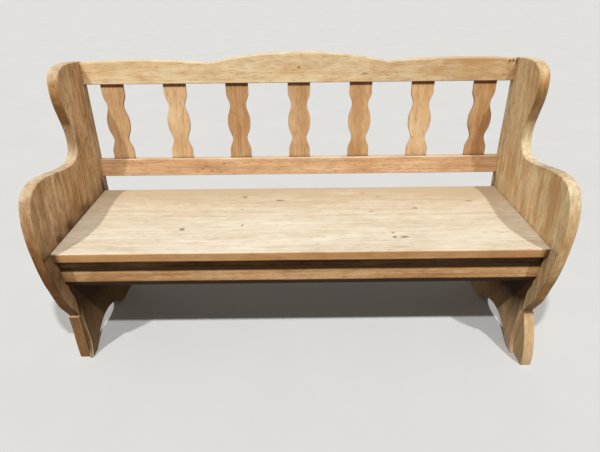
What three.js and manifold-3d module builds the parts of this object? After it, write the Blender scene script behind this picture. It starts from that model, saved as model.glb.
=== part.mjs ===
// A monks bench in pine with a fixed back: two shaped ends, a plank seat and a raked back of wavy slats.
// Millimetres, +Z up, +X along the bench; the front faces -Y. The back is drawn in a leaning frame of its own.
import * as THREE from "three";
import { mergeVertices } from "three/addons/utils/BufferGeometryUtils.js";
import Module from "manifold-3d";

const wasm = await Module();
wasm.setup();

// Driving dimensions of the bench
const innerLength = 1450; // clear length between the two cheeks
const seatHeight = 430; // floor to the top of the seat
const seatDepth = 411; // front edge to rear edge of the seat
const seatThickness = 32;
const plankCount = 4;
const backLeanDegrees = 7.5;
const backGap = 4.5; // open slot between the seat and the face of the back
const backRailThickness = 26;
const slatCount = 7;
const cheekThickness = 33;
const legBoardThickness = 12;

// Clearances and overruns
const jointGap = 0.3; // glue gap between any two pieces that touch
const overrun = 5; // how far a cutting solid runs past the face that it opens
const cornerSteps = 3; // facets of every rounded corner

// End cheek: wing beside the back, arm, and the ankle above the foot block
const wingRise = 445; // along the lean, from seat level to the top of the wing
const wingReach = 160; // how far the wing stands out in front of the back
const wingCornerRadius = 12;
const armRise = 198; // seat level to the top of the arm
const armOverhang = 33; // arm in front of the seat
const ankleHeight = 168; // floor to the joint with the foot block
const ankleSetback = 24; // ankle behind the seat's front edge
const cheekArris = 4;
const cheekCurveSteps = 74;

// Arch between the front and the rear foot, the same in cheek, foot block and leg board
const archStart = 32; // behind the seat's front edge
const rearFootWidth = 100;
const archHeight = 66;
const archSteps = 12;

// Foot blocks under the ankles: the right one runs further forward
const footBlockDepth = 60;
const footLedge = 9; // block in front of the ankle at the joint
const leftToeRun = 15;
const rightToeRun = 72;
const footArris = 2.5;
const footCurveSteps = 9;
const dowelDiameter = 8;
const dowelLength = 40;
const dowelPlaceShares = [0.36, 0.76]; // of the block's depth
const roundSides = 12;

// Leg board on the inner face of each cheek
const legBoardRecess = 34;
const legBoardArris = 1.5;
const legBoardCurveSteps = 26;

// Seat rails and what joins them
const railSetback = 16; // rail behind the seat's front edge
const frontRailThickness = 25;
const frontRailHeight = 103;
const frontRailEaseHeight = 23; // eased lower front edge
const frontRailEaseDepth = 8;
const rearRailThickness = 22;
const rearRailHeight = 74;
const rearRailInset = 10; // rear rail in front of the seat's rear edge
const railArris = 2;
const tenonThickness = 12;
const tenonLengthShare = 0.6; // of the cheek's thickness
const tenonShoulder = 13; // rail left above and below each tenon
const bearerCount = 2;
const bearerWidth = 45;
const bearerHeight = 28;
const bearerTenonLength = 8;
const bearerTenonShoulder = 7;

// Seat planks and their screws
const plankFrontRadius = 5;
const tongueThickness = 8;
const tongueLength = 7;
const screwShankDiameter = 4.5;
const screwHeadDiameter = 9;
const screwHeadHeight = 3.5;
const screwTipLength = 4;
const screwGrip = 15; // thread inside the plank

// Back: lower rail, crest rail and slats, measured along the lean from seat level
const lowerRailRise = 52;
const lowerRailHeight = 62;
const lowerRailFrontRadius = 4;
const slatClearHeight = 258; // lower rail to crest rail
const slatWidth = 78;
const slatThickness = 10;
const slatEndGap = 51; // cheek to the first slat
const slatTenonLength = 12;
const slatTenonWidthShare = 0.72; // of the slat's width
const slatArris = 1.5;
const slatCurveSteps = 22;
const crestHumpHeight = 97.5;
const crestCuspHeight = 66;
const crestEndHeight = 71;
const crestShoulderSwell = 8;
const crestCuspShare = 0.41; // of half the inner length
const crestTopRadius = 8;
const crestStations = 44;

// Outline tables. Wing: [forward of the back / wingReach, along / wingRise], from the top down
const wingShares = [
  [0.28, 1], [0.5, 0.994], [0.73, 0.976], [0.87, 0.946], [0.965, 0.9], [1, 0.83], [0.985, 0.75],
  [0.91, 0.66], [0.83, 0.577], [0.792, 0.5], [0.805, 0.445], [0.87, 0.39], [1.01, 0.349],
];
// Top of the arm: [back from the seat's front edge / arm span, height / armRise]
const armTopShares = [[0.87, 0.872], [0.7, 0.905], [0.53, 0.957], [0.36, 0.998], [0.21, 1], [0.1, 0.952]];
// Front of the arm: [forward / armOverhang, height / armRise]
const armFrontShares = [[-0.24, 0.874], [0.21, 0.758], [0.61, 0.596], [0.85, 0.42], [0.97, 0.24], [1, 0.07]];
// Below the seat: [from the arm's front to the ankle, height between ankle and seat]
const ankleShares = [
  [0, 0.94], [0.018, 0.817], [0.088, 0.656], [0.215, 0.511], [0.34, 0.37], [0.45, 0.26], [0.7, 0.134], [1, 0],
];
// Front edge of the leg board: [back / legBoardRecess, height / underside of the front rail]
const legBoardShares = [
  [0.71, 0.985], [0.74, 0.924], [0.95, 0.834], [0.96, 0.742], [0.84, 0.644], [0.66, 0.554],
  [0.56, 0.427], [0.55, 0.295], [0.41, 0.165], [0.14, 0.061], [-0.15, 0],
];
// Half outline of a slat: [width / slatWidth, height / slatClearHeight]
const slatShares = [
  [0.96, 0.1], [0.93, 0.14], [0.79, 0.195], [0.67, 0.245], [0.66, 0.285], [0.77, 0.335], [0.92, 0.39], [1, 0.46],
  [0.99, 0.54], [0.92, 0.595], [0.79, 0.65], [0.715, 0.7], [0.75, 0.755], [0.88, 0.805], [0.98, 0.85],
];

// Levels and lines that follow from the sizes above
const lean = THREE.MathUtils.degToRad(backLeanDegrees);
const innerHalf = innerLength / 2;
const backFaceY = seatDepth + backGap;
const seatUnderside = seatHeight - seatThickness;
const frontRailBottom = seatUnderside - frontRailHeight;
const rearRailBottom = seatUnderside - rearRailHeight;
const frontRailRearY = railSetback + frontRailThickness;
const rearRailRearY = seatDepth - rearRailInset;
const rearRailFrontY = rearRailRearY - rearRailThickness;
const plankPitch = seatDepth / plankCount;
const tenonLength = cheekThickness * tenonLengthShare;
const slatFootRise = lowerRailRise + lowerRailHeight;
const crestRise = slatFootRise + slatClearHeight;
const footBlockRearY = ankleSetback - footLedge + footBlockDepth;

// A point of the leaning back, given how far it is forward of the rails' faces and along the lean, as (y, z)
function backPoint(forward, along) {
  const y = backFaceY + along * Math.sin(lean) - forward * Math.cos(lean);
  const z = seatHeight + along * Math.cos(lean) + forward * Math.sin(lean);
  return new THREE.Vector2(y, z);
}

// Rear edge of the cheeks: the plane of the rails' rear faces, carried down to the floor
function rearEdgeY(z) {
  const foot = backPoint(-backRailThickness, 0);
  return foot.x + (z - foot.y) * Math.tan(lean);
}

const archEnd = rearEdgeY(0) - rearFootWidth;

// Height of the arch over the floor at a distance y behind the seat's front edge
function archHeightAt(y) {
  const middle = (archStart + archEnd) / 2;
  const half = (archEnd - archStart) / 2;
  return archHeight * (1 - ((y - middle) / half) ** 2);
}

// Points of the arch from y0 to y1, both ends included
function archPoints(y0, y1, steps) {
  return Array.from({ length: steps + 1 }, (_, i) => {
    const y = THREE.MathUtils.lerp(y0, y1, i / steps);
    return new THREE.Vector2(y, Math.max(0, archHeightAt(y)));
  });
}

// Smooth curve through hand-placed points, sampled at equal steps
function smoothLine(points, steps) {
  const curve = new THREE.CatmullRomCurve3(points.map((p) => new THREE.Vector3(p.x, p.y, 0)));
  return curve.getSpacedPoints(steps).map((p) => new THREE.Vector2(p.x, p.y));
}

// Points that round off a corner between two straight edges
function roundedCorner(before, corner, after, radius) {
  const towards = (end) => corner.clone().add(end.clone().sub(corner).setLength(radius));
  return new THREE.QuadraticBezierCurve(towards(before), corner, towards(after)).getPoints(cornerSteps);
}

// Closed solid of a geometry, with its shared vertices merged
function solidOf(geometry) {
  const bare = geometry.clone();
  bare.deleteAttribute("normal");
  bare.deleteAttribute("uv");
  const merged = mergeVertices(bare);
  return new wasm.Manifold(new wasm.Mesh({
    numProp: 3,
    vertProperties: new Float32Array(merged.attributes.position.array),
    triVerts: new Uint32Array(merged.index.array),
  }));
}

function geometryOf(solid) {
  const mesh = solid.getMesh();
  const geometry = new THREE.BufferGeometry();
  geometry.setAttribute("position", new THREE.BufferAttribute(mesh.vertProperties, 3));
  geometry.setIndex(new THREE.BufferAttribute(mesh.triVerts, 1));
  geometry.computeVertexNormals();
  return geometry;
}

// Base solid with other solids joined on and then cutters taken away
function carve(base, { joined = [], cut = [] }) {
  let solid = solidOf(base);
  for (const extra of joined) {
    solid = solid.add(solidOf(extra));
  }
  for (const cutter of cut) {
    solid = solid.subtract(solidOf(cutter));
  }
  return geometryOf(solid);
}

// Rectangular block between two opposite corners
function block(low, high) {
  const size = high.clone().sub(low);
  const middle = low.clone().add(high).divideScalar(2);
  return new THREE.BoxGeometry(size.x, size.y, size.z).translate(middle.x, middle.y, middle.z);
}

// The same block grown on every side, to cut the room for a tenon
function roomFor(low, high) {
  return block(low.clone().subScalar(jointGap), high.clone().addScalar(jointGap));
}

// Turns a shape drawn in (x, y) and pulled along z into one drawn in (y, z) and pulled along x
function layAlongX(geometry, x) {
  const turn = new THREE.Matrix4().makeBasis(
    new THREE.Vector3(0, 1, 0), new THREE.Vector3(0, 0, 1), new THREE.Vector3(1, 0, 0));
  return geometry.applyMatrix4(turn).translate(x, 0, 0);
}

// Board cut to an outline in the (y, z) plane, with eased edges, between two values of x
function endBoard(outline, x0, x1, arris) {
  const board = easedExtrusion(outline, x1 - x0, arris);
  return layAlongX(board, x0);
}

// Board of full thickness whose outline is eased by the arris on both faces; it starts at z = 0
function easedExtrusion(outline, thickness, arris) {
  return new THREE.ExtrudeGeometry(new THREE.Shape(outline), {
    depth: thickness - arris * 2,
    bevelEnabled: true,
    bevelThickness: arris,
    bevelSize: arris,
    bevelOffset: -arris,
    bevelSegments: 2,
  }).translate(0, 0, arris);
}

// Rail with one section in the (y, z) plane all along x
function railBar(section, x0, x1) {
  const bar = new THREE.ExtrudeGeometry(new THREE.Shape(section), { depth: x1 - x0, bevelEnabled: false });
  return layAlongX(bar, x0);
}

// Rectangular section in the (y, z) plane, with a radius of its own at each corner: (y0, z1), then down to
// (y0, z0), across to (y1, z0) and up to (y1, z1)
function railSection(y0, y1, z0, z1, radii) {
  const corners = [
    new THREE.Vector2(y0, z1),
    new THREE.Vector2(y0, z0),
    new THREE.Vector2(y1, z0),
    new THREE.Vector2(y1, z1),
  ];
  return corners.flatMap((corner, i) => {
    const before = corners[(i + corners.length - 1) % corners.length];
    const after = corners[(i + 1) % corners.length];
    return roundedCorner(before, corner, after, radii[i]);
  });
}

// Solid with an upright axis, from a profile of [radius, height] pairs
function turned(profile) {
  const points = profile.map(([radius, height]) => new THREE.Vector2(radius, height));
  return new THREE.LatheGeometry(points, roundSides).rotateX(Math.PI / 2);
}

// Upright pin between two heights
function pin(radius, zLow, zHigh) {
  return turned([[0, zLow], [radius, zLow], [radius, zHigh], [0, zHigh]]);
}

// Materials
function pine(color, roughness) {
  return new THREE.MeshStandardMaterial({ color, roughness, metalness: 0 });
}

const bench = new THREE.Group();
const back = new THREE.Group();
back.position.set(0, backFaceY, seatHeight);
back.rotation.x = Math.PI / 2 - lean;
back.updateMatrix();
bench.add(back);

function addPiece(parent, name, geometry, material) {
  const mesh = new THREE.Mesh(geometry, material);
  mesh.name = name;
  parent.add(mesh);
}

// Tenon blocks in the bench's own frame; side is -1 for the left end and 1 for the right end
function endTenon(side, y0, y1, z0, z1) {
  const root = side * (innerHalf - overrun);
  const tip = side * (innerHalf + tenonLength);
  return {
    low: new THREE.Vector3(Math.min(root, tip), y0, z0),
    high: new THREE.Vector3(Math.max(root, tip), y1, z1),
  };
}

function railTenon(side, yMiddle, bottom, top) {
  const half = tenonThickness / 2;
  return endTenon(side, yMiddle - half, yMiddle + half, bottom + tenonShoulder, top - tenonShoulder);
}

const frontRailMiddleY = (railSetback + frontRailRearY) / 2;
const rearRailMiddleY = (rearRailFrontY + rearRailRearY) / 2;
const seatRailTenons = (side) => [
  railTenon(side, frontRailMiddleY, frontRailBottom, seatUnderside),
  railTenon(side, rearRailMiddleY, rearRailBottom, seatUnderside),
];
// In the back's own frame y runs along the lean and z stands forward of the rails' faces
const backTenon = (side, along, height) => {
  const middle = -backRailThickness / 2;
  const half = tenonThickness / 2;
  return endTenon(side, along + tenonShoulder, along + height - tenonShoulder, middle - half, middle + half);
};
const backRailTenons = (side) => [
  backTenon(side, lowerRailRise, lowerRailHeight),
  backTenon(side, crestRise, crestEndHeight),
];

// Dowels between foot block and ankle
const dowelTop = ankleHeight + dowelLength / 2;
const dowelBottom = ankleHeight - dowelLength / 2;
const dowelPlaces = dowelPlaceShares.map((share) => ankleSetback - footLedge + footBlockDepth * share);
const cheekMiddleX = innerHalf + cheekThickness / 2;

function dowelHoles(side) {
  const radius = dowelDiameter / 2 + jointGap;
  return dowelPlaces.map((y) => {
    const hole = pin(radius, dowelBottom - jointGap, dowelTop + jointGap);
    return hole.translate(side * cheekMiddleX, y, 0);
  });
}

// Outline of the cheek, from the rear foot up the raked edge, round the wing and arm and down to the floor
function cheekOutline() {
  const wing = wingShares.map(([forward, along]) => backPoint(forward * wingReach, along * wingRise));
  const armSpan = wing.at(-1).x;
  const armTop = armTopShares.map(([y, z]) => new THREE.Vector2(y * armSpan, seatHeight + z * armRise));
  const armFront = armFrontShares.map(([y, z]) => new THREE.Vector2(-y * armOverhang, seatHeight + z * armRise));
  const ankle = ankleShares.map(([y, z]) => new THREE.Vector2(
    THREE.MathUtils.lerp(-armOverhang, ankleSetback, y),
    THREE.MathUtils.lerp(ankleHeight, seatHeight, z)));
  const heelBottom = new THREE.Vector2(rearEdgeY(0), 0);
  const topCorner = backPoint(-backRailThickness, wingRise);
  return [
    ...archPoints(archEnd, archStart, archSteps),
    new THREE.Vector2(ankleSetback, 0),
    ...smoothLine([...wing, ...armTop, ...armFront, ...ankle], cheekCurveSteps).reverse(),
    ...roundedCorner(wing[0], topCorner, heelBottom, wingCornerRadius),
    heelBottom,
  ].reverse();
}

function cheek(side) {
  const x0 = side < 0 ? -innerHalf - cheekThickness : innerHalf;
  const x1 = x0 + cheekThickness;
  const slab = endBoard(cheekOutline(), x0, x1, cheekArris);
  const mortises = seatRailTenons(side).map(({ low, high }) => roomFor(low, high));
  const backMortises = backRailTenons(side).map(({ low, high }) => roomFor(low, high).applyMatrix4(back.matrix));
  const footNotch = block(
    new THREE.Vector3(x0 - overrun, -armOverhang - overrun, -overrun),
    new THREE.Vector3(x1 + overrun, footBlockRearY, ankleHeight));
  return carve(slab, { cut: [...mortises, ...backMortises, footNotch, ...dowelHoles(side)] });
}

// Front foot block: its front is a soft S on the left, and on the right a bow that carries the toe well forward
function footBlockOutline(toeRun, runAt) {
  const top = ankleHeight - jointGap;
  const topY = ankleSetback - footLedge;
  const rearY = footBlockRearY - jointGap;
  const front = Array.from({ length: footCurveSteps + 1 }, (_, i) => {
    const drop = i / footCurveSteps;
    return new THREE.Vector2(topY - toeRun * runAt(drop), top * (1 - drop));
  });
  const arch = archPoints(archStart, rearY, archSteps / 3);
  return [...front, ...arch, new THREE.Vector2(rearY, top)];
}

const softS = (drop) => (1 - Math.cos(Math.PI * drop)) / 2;
const bow = (drop) => Math.sin(Math.PI * drop / 2);

function footBlock(side) {
  const x0 = side < 0 ? -innerHalf - cheekThickness : innerHalf;
  const outline = side < 0 ? footBlockOutline(leftToeRun, softS) : footBlockOutline(rightToeRun, bow);
  return carve(endBoard(outline, x0, x0 + cheekThickness, footArris), { cut: dowelHoles(side) });
}

// Leg board: behind the front rail it rises to carry the seat planks, and below the rail it swings forward
function legBoardOutline() {
  const frontTop = new THREE.Vector2(railSetback + frontRailEaseDepth, frontRailBottom);
  const sweep = legBoardShares.map(([y, z]) => new THREE.Vector2(y * legBoardRecess, z * frontRailBottom));
  const seatTop = seatUnderside - jointGap;
  return [
    new THREE.Vector2(railSetback, seatTop),
    ...smoothLine([frontTop, ...sweep], legBoardCurveSteps),
    ...archPoints(archStart, archEnd, archSteps),
    new THREE.Vector2(rearEdgeY(0), 0),
    new THREE.Vector2(rearEdgeY(seatTop), seatTop),
  ];
}

function legBoard(side) {
  const x1 = innerHalf - jointGap;
  const x0 = x1 - legBoardThickness;
  const left = side < 0;
  const board = endBoard(legBoardOutline(), left ? -x1 : x0, left ? -x0 : x1, legBoardArris);
  const reach = innerHalf + overrun;
  const frontNotch = block(
    new THREE.Vector3(-reach, -armOverhang, frontRailBottom - jointGap),
    new THREE.Vector3(reach, frontRailRearY + jointGap, seatHeight));
  const rearNotch = block(
    new THREE.Vector3(-reach, rearRailFrontY - jointGap, rearRailBottom - jointGap),
    new THREE.Vector3(reach, rearEdgeY(seatHeight) + overrun, seatHeight));
  return carve(board, { cut: [frontNotch, rearNotch] });
}

// Bearers: places along the bench and the stub tenons that enter both seat rails
const bearerPlaces = Array.from({ length: bearerCount }, (_, i) => {
  return THREE.MathUtils.lerp(-innerHalf, innerHalf, (i + 1) / (bearerCount + 1));
});
const bearerTop = seatUnderside - jointGap;
const bearerBottom = bearerTop - bearerHeight;

function bearerTenon(x, yRoot, yTip) {
  const half = bearerWidth / 2 - bearerTenonShoulder;
  return {
    low: new THREE.Vector3(x - half, Math.min(yRoot, yTip), bearerBottom + bearerTenonShoulder),
    high: new THREE.Vector3(x + half, Math.max(yRoot, yTip), bearerTop - bearerTenonShoulder),
  };
}

const frontBearerTenon = (x) => bearerTenon(x, frontRailRearY + overrun, frontRailRearY - bearerTenonLength);
const rearBearerTenon = (x) => bearerTenon(x, rearRailFrontY - overrun, rearRailFrontY + bearerTenonLength);

function withEndTenons(bar, tenons, cut) {
  const joined = tenons.map(({ low, high }) => block(low, high));
  return carve(bar, { joined, cut });
}

function frontSeatRail() {
  const zTop = seatUnderside - jointGap;
  const plain = railSection(railSetback, frontRailRearY, frontRailBottom, zTop, Array(4).fill(railArris));
  const bar = railBar(plain, -innerHalf + jointGap, innerHalf - jointGap);
  const easeOutline = [
    new THREE.Vector2(railSetback - overrun, frontRailBottom - overrun),
    new THREE.Vector2(railSetback + frontRailEaseDepth, frontRailBottom - overrun),
    ...easedEdge(),
    new THREE.Vector2(railSetback - overrun, frontRailBottom + frontRailEaseHeight),
  ];
  const ease = railBar(easeOutline, -innerHalf - overrun, innerHalf + overrun);
  const mortises = bearerPlaces.map((x) => frontBearerTenon(x)).map(({ low, high }) => roomFor(low, high));
  const tenons = [-1, 1].map((side) => seatRailTenons(side)[0]);
  return withEndTenons(bar, tenons, [ease, ...mortises]);
}

// Rounded lower front edge of the front rail, from its underside up to its face
function easedEdge() {
  const under = new THREE.Vector2(railSetback + frontRailEaseDepth, frontRailBottom);
  const corner = new THREE.Vector2(
    railSetback + frontRailEaseDepth / 3, frontRailBottom + frontRailEaseHeight / 3);
  const face = new THREE.Vector2(railSetback, frontRailBottom + frontRailEaseHeight);
  return new THREE.QuadraticBezierCurve(under, corner, face).getPoints(cornerSteps);
}

function rearSeatRail() {
  const zTop = seatUnderside - jointGap;
  const section = railSection(rearRailFrontY, rearRailRearY, rearRailBottom, zTop, Array(4).fill(railArris));
  const bar = railBar(section, -innerHalf + jointGap, innerHalf - jointGap);
  const mortises = bearerPlaces.map((x) => rearBearerTenon(x)).map(({ low, high }) => roomFor(low, high));
  const tenons = [-1, 1].map((side) => seatRailTenons(side)[1]);
  return withEndTenons(bar, tenons, mortises);
}

// Screws: countersunk into the bearer's underside, one under each plank
const screwTop = seatUnderside + screwGrip;
const plankMiddles = Array.from({ length: plankCount }, (_, i) => plankPitch * (i + 1 / 2));
const bearerFrontY = frontRailRearY + jointGap;
const bearerRearY = rearRailFrontY - jointGap;
// A screw sits under the middle of its plank, or as near to it as the bearer reaches
const screwPlaces = plankMiddles.map((y) => THREE.MathUtils.clamp(
  y, bearerFrontY + screwHeadDiameter, bearerRearY - screwHeadDiameter));

function screwProfile(grow) {
  const shank = screwShankDiameter / 2 + grow;
  const head = screwHeadDiameter / 2 + grow;
  return [
    [0, bearerBottom - grow],
    [head, bearerBottom - grow],
    [shank, bearerBottom + screwHeadHeight],
    [shank, screwTop - screwTipLength + grow],
    [0, screwTop + grow],
  ];
}

const screw = () => turned(screwProfile(0));
const screwRoom = () => turned(screwProfile(jointGap));

function seatBearer(x) {
  const half = bearerWidth / 2;
  const body = block(
    new THREE.Vector3(x - half, bearerFrontY, bearerBottom),
    new THREE.Vector3(x + half, bearerRearY, bearerTop));
  const holes = screwPlaces.map((y) => screwRoom().translate(x, y, 0));
  return withEndTenons(body, [frontBearerTenon(x), rearBearerTenon(x)], holes);
}

// Seat plank: tongue at its rear edge, groove at its front edge; the first has the rounded front of the seat
function plankSection(index) {
  const first = index === 0;
  const last = index === plankCount - 1;
  const y0 = index * plankPitch + (first ? 0 : jointGap / 2);
  const y1 = (index + 1) * plankPitch - (last ? 0 : jointGap / 2);
  const radii = first
    ? [plankFrontRadius, plankFrontRadius, jointGap, jointGap]
    : [jointGap, jointGap, jointGap, last ? railArris : jointGap];
  return railSection(y0, y1, seatUnderside, seatHeight, radii);
}

function tongue(joint, grow) {
  const reach = innerHalf - (grow > 0 ? -overrun : jointGap);
  const middle = (seatUnderside + seatHeight) / 2;
  const half = tongueThickness / 2 + grow;
  return block(
    new THREE.Vector3(-reach, joint - overrun, middle - half),
    new THREE.Vector3(reach, joint + tongueLength + grow, middle + half));
}

function seatPlank(index) {
  const bar = railBar(plankSection(index), -innerHalf + jointGap, innerHalf - jointGap);
  const joined = index < plankCount - 1 ? [tongue((index + 1) * plankPitch, 0)] : [];
  const groove = index > 0 ? [tongue(index * plankPitch, jointGap)] : [];
  const holes = bearerPlaces.map((x) => screwRoom().translate(x, screwPlaces[index], 0));
  return carve(bar, { joined, cut: [...groove, ...holes] });
}

// Slats, in the back's own frame: x along the bench, y along the lean, z forward
const slatSpan = innerLength - 2 * slatEndGap - slatWidth;
const slatPlaces = Array.from({ length: slatCount }, (_, i) => {
  return THREE.MathUtils.lerp(-slatSpan / 2, slatSpan / 2, slatCount > 1 ? i / (slatCount - 1) : 1 / 2);
});
const slatFrontZ = -(backRailThickness - slatThickness) / 2;

function slatTenon(x, grow) {
  const half = slatWidth * slatTenonWidthShare / 2 + grow;
  return block(
    new THREE.Vector3(x - half, slatFootRise - slatTenonLength - grow, slatFrontZ - slatThickness - grow),
    new THREE.Vector3(x + half, crestRise + slatTenonLength + grow, slatFrontZ + grow));
}

function slat(x) {
  const low = slatFootRise + jointGap;
  const high = crestRise - jointGap;
  const edge = slatShares.map(([width, height]) => new THREE.Vector2(
    width * slatWidth / 2, THREE.MathUtils.lerp(slatFootRise, crestRise, height)));
  const footHalf = edge[0].x;
  const headHalf = edge.at(-1).x;
  const right = [
    new THREE.Vector2(footHalf, low),
    ...smoothLine(edge, slatCurveSteps),
    new THREE.Vector2(headHalf, high),
  ];
  const left = right.map((p) => new THREE.Vector2(-p.x, p.y)).reverse();
  const body = easedExtrusion([...right, ...left], slatThickness, slatArris)
    .translate(x, 0, slatFrontZ - slatThickness);
  return carve(body, { joined: [slatTenon(x, 0)] });
}

const slatRooms = () => slatPlaces.map((x) => slatTenon(x, jointGap));

function lowerBackRail() {
  const radii = [railArris, railArris, railArris, lowerRailFrontRadius];
  const section = railSection(lowerRailRise, slatFootRise, -backRailThickness, 0, radii);
  const bar = railBar(section, -innerHalf + jointGap, innerHalf - jointGap);
  const tenons = [-1, 1].map((side) => backRailTenons(side)[0]);
  return withEndTenons(bar, tenons, slatRooms());
}

// Height of the crest rail at x: a central hump between two cusps, and a shallow swell on each side
function crestHeightAt(x) {
  const cusp = innerHalf * crestCuspShare;
  const out = Math.abs(x);
  if (out < cusp) {
    return crestCuspHeight + (crestHumpHeight - crestCuspHeight) * (1 - (out / cusp) ** 2);
  }
  const t = (out - cusp) / (innerHalf - cusp);
  return THREE.MathUtils.lerp(crestCuspHeight, crestEndHeight, t) + crestShoulderSwell * 4 * t * (1 - t);
}

// One section of the crest rail: flat foot, rounded top
function crestSection(x) {
  const top = crestRise + crestHeightAt(x);
  const radii = [railArris, railArris, crestTopRadius, crestTopRadius];
  const section = railSection(crestRise, top, -backRailThickness, 0, radii);
  return section.map((p) => new THREE.Vector3(x, p.x, p.y));
}

// Solid through a row of sections that all have the same number of points
function loft(sections) {
  const around = sections[0].length;
  const last = (sections.length - 1) * around;
  const index = [];
  for (let i = 0; i < sections.length - 1; i += 1) {
    for (let j = 0; j < around; j += 1) {
      const a = i * around + j;
      const b = i * around + (j + 1) % around;
      index.push(a, b, a + around, b, b + around, a + around);
    }
  }
  for (let j = 1; j < around - 1; j += 1) {
    index.push(0, j + 1, j, last, last + j, last + j + 1);
  }
  const geometry = new THREE.BufferGeometry().setFromPoints(sections.flat());
  geometry.setIndex(index);
  return geometry;
}

function crestRail() {
  const half = innerHalf - jointGap;
  const sections = Array.from({ length: crestStations + 1 }, (_, i) => {
    return crestSection(THREE.MathUtils.lerp(-half, half, i / crestStations));
  });
  const tenons = [-1, 1].map((side) => backRailTenons(side)[1]);
  return withEndTenons(loft(sections), tenons, slatRooms());
}

// Assembly
const cheekPine = 0xc49a6c;
const legPine = 0xb98f62;
const seatPine = 0xf0d9a8;
const railPine = 0xe6bd84;
const slatPine = 0xd9a066;

for (const side of [-1, 1]) {
  const hand = side < 0 ? "left" : "right";
  addPiece(bench, `${hand}_end_cheek`, cheek(side), pine(cheekPine, 0.55));
  addPiece(bench, `${hand}_leg_board`, legBoard(side), pine(legPine, 0.6));
  addPiece(bench, `${hand}_front_foot_block`, footBlock(side), pine(side < 0 ? slatPine : seatPine, 0.6));
  dowelPlaces.forEach((y, i) => {
    const dowel = pin(dowelDiameter / 2, dowelBottom, dowelTop).translate(side * cheekMiddleX, y, 0);
    addPiece(bench, `${hand}_foot_dowel_${i + 1}`, dowel, pine(railPine, 0.6));
  });
}
addPiece(bench, "front_seat_rail", frontSeatRail(), pine(railPine, 0.55));
addPiece(bench, "rear_seat_rail", rearSeatRail(), pine(railPine, 0.6));
for (let i = 0; i < plankCount; i += 1) {
  addPiece(bench, `seat_plank_${i + 1}`, seatPlank(i), pine(seatPine, 0.5));
}
bearerPlaces.forEach((x, i) => {
  addPiece(bench, `seat_bearer_${i + 1}`, seatBearer(x), pine(railPine, 0.65));
  screwPlaces.forEach((y, j) => {
    const steel = new THREE.MeshStandardMaterial({ color: 0xb9b4a6, roughness: 0.35, metalness: 0.9 });
    addPiece(bench, `seat_screw_${i * plankCount + j + 1}`, screw().translate(x, y, 0), steel);
  });
});
addPiece(back, "lower_back_rail", lowerBackRail(), pine(slatPine, 0.55));
addPiece(back, "crest_rail", crestRail(), pine(railPine, 0.5));
slatPlaces.forEach((x, i) => {
  addPiece(back, `back_slat_${i + 1}`, slat(x), pine(slatPine, 0.55));
});

// The origin is the middle of the bench's footprint, on the floor
const extent = new THREE.Box3().setFromObject(bench);
const middle = extent.getCenter(new THREE.Vector3());
bench.position.set(-middle.x, -middle.y, -extent.min.z);

export default bench;
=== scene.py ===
# %% [markdown]
# # A monks bench in old pine
#
# The real bench is glued up from sawn boards: two shaped ends, a plank seat and a raked back of wavy slats.
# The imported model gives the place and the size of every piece. This script gives each piece the soft edges,
# the grain and the light of the real one. Everything is in metres: X along the bench, Y to the back, Z up.

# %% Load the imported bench
import math

import bpy
import numpy as np
from mathutils import Euler, Matrix, Vector


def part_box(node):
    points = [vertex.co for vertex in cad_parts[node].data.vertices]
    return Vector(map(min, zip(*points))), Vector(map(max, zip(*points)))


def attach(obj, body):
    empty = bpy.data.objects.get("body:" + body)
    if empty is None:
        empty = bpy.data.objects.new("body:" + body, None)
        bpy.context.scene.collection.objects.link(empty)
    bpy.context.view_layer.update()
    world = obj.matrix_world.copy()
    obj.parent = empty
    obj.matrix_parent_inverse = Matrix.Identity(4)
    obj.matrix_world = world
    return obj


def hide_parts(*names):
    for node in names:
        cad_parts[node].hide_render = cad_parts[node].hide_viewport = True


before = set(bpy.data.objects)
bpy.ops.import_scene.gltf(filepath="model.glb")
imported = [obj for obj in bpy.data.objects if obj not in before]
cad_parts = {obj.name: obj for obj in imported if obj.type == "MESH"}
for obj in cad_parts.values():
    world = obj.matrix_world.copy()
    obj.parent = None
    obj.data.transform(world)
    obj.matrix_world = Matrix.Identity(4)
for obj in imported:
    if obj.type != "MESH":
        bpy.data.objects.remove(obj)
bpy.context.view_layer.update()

# %% [markdown]
# ## A skin over loops
#
# Almost every board of this bench is a closed loop of points that travels: the outline of a cheek travels
# through its thickness, the section of a rail travels along the rail. It could be made with modifiers on a
# flat face, but a grid of points leaves every edge radius in our hands, so one helper turns a stack of
# loops into a closed skin.

# %% Helper: closed skin over a stack of loops
SHARP_EDGE = math.radians(38)


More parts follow.
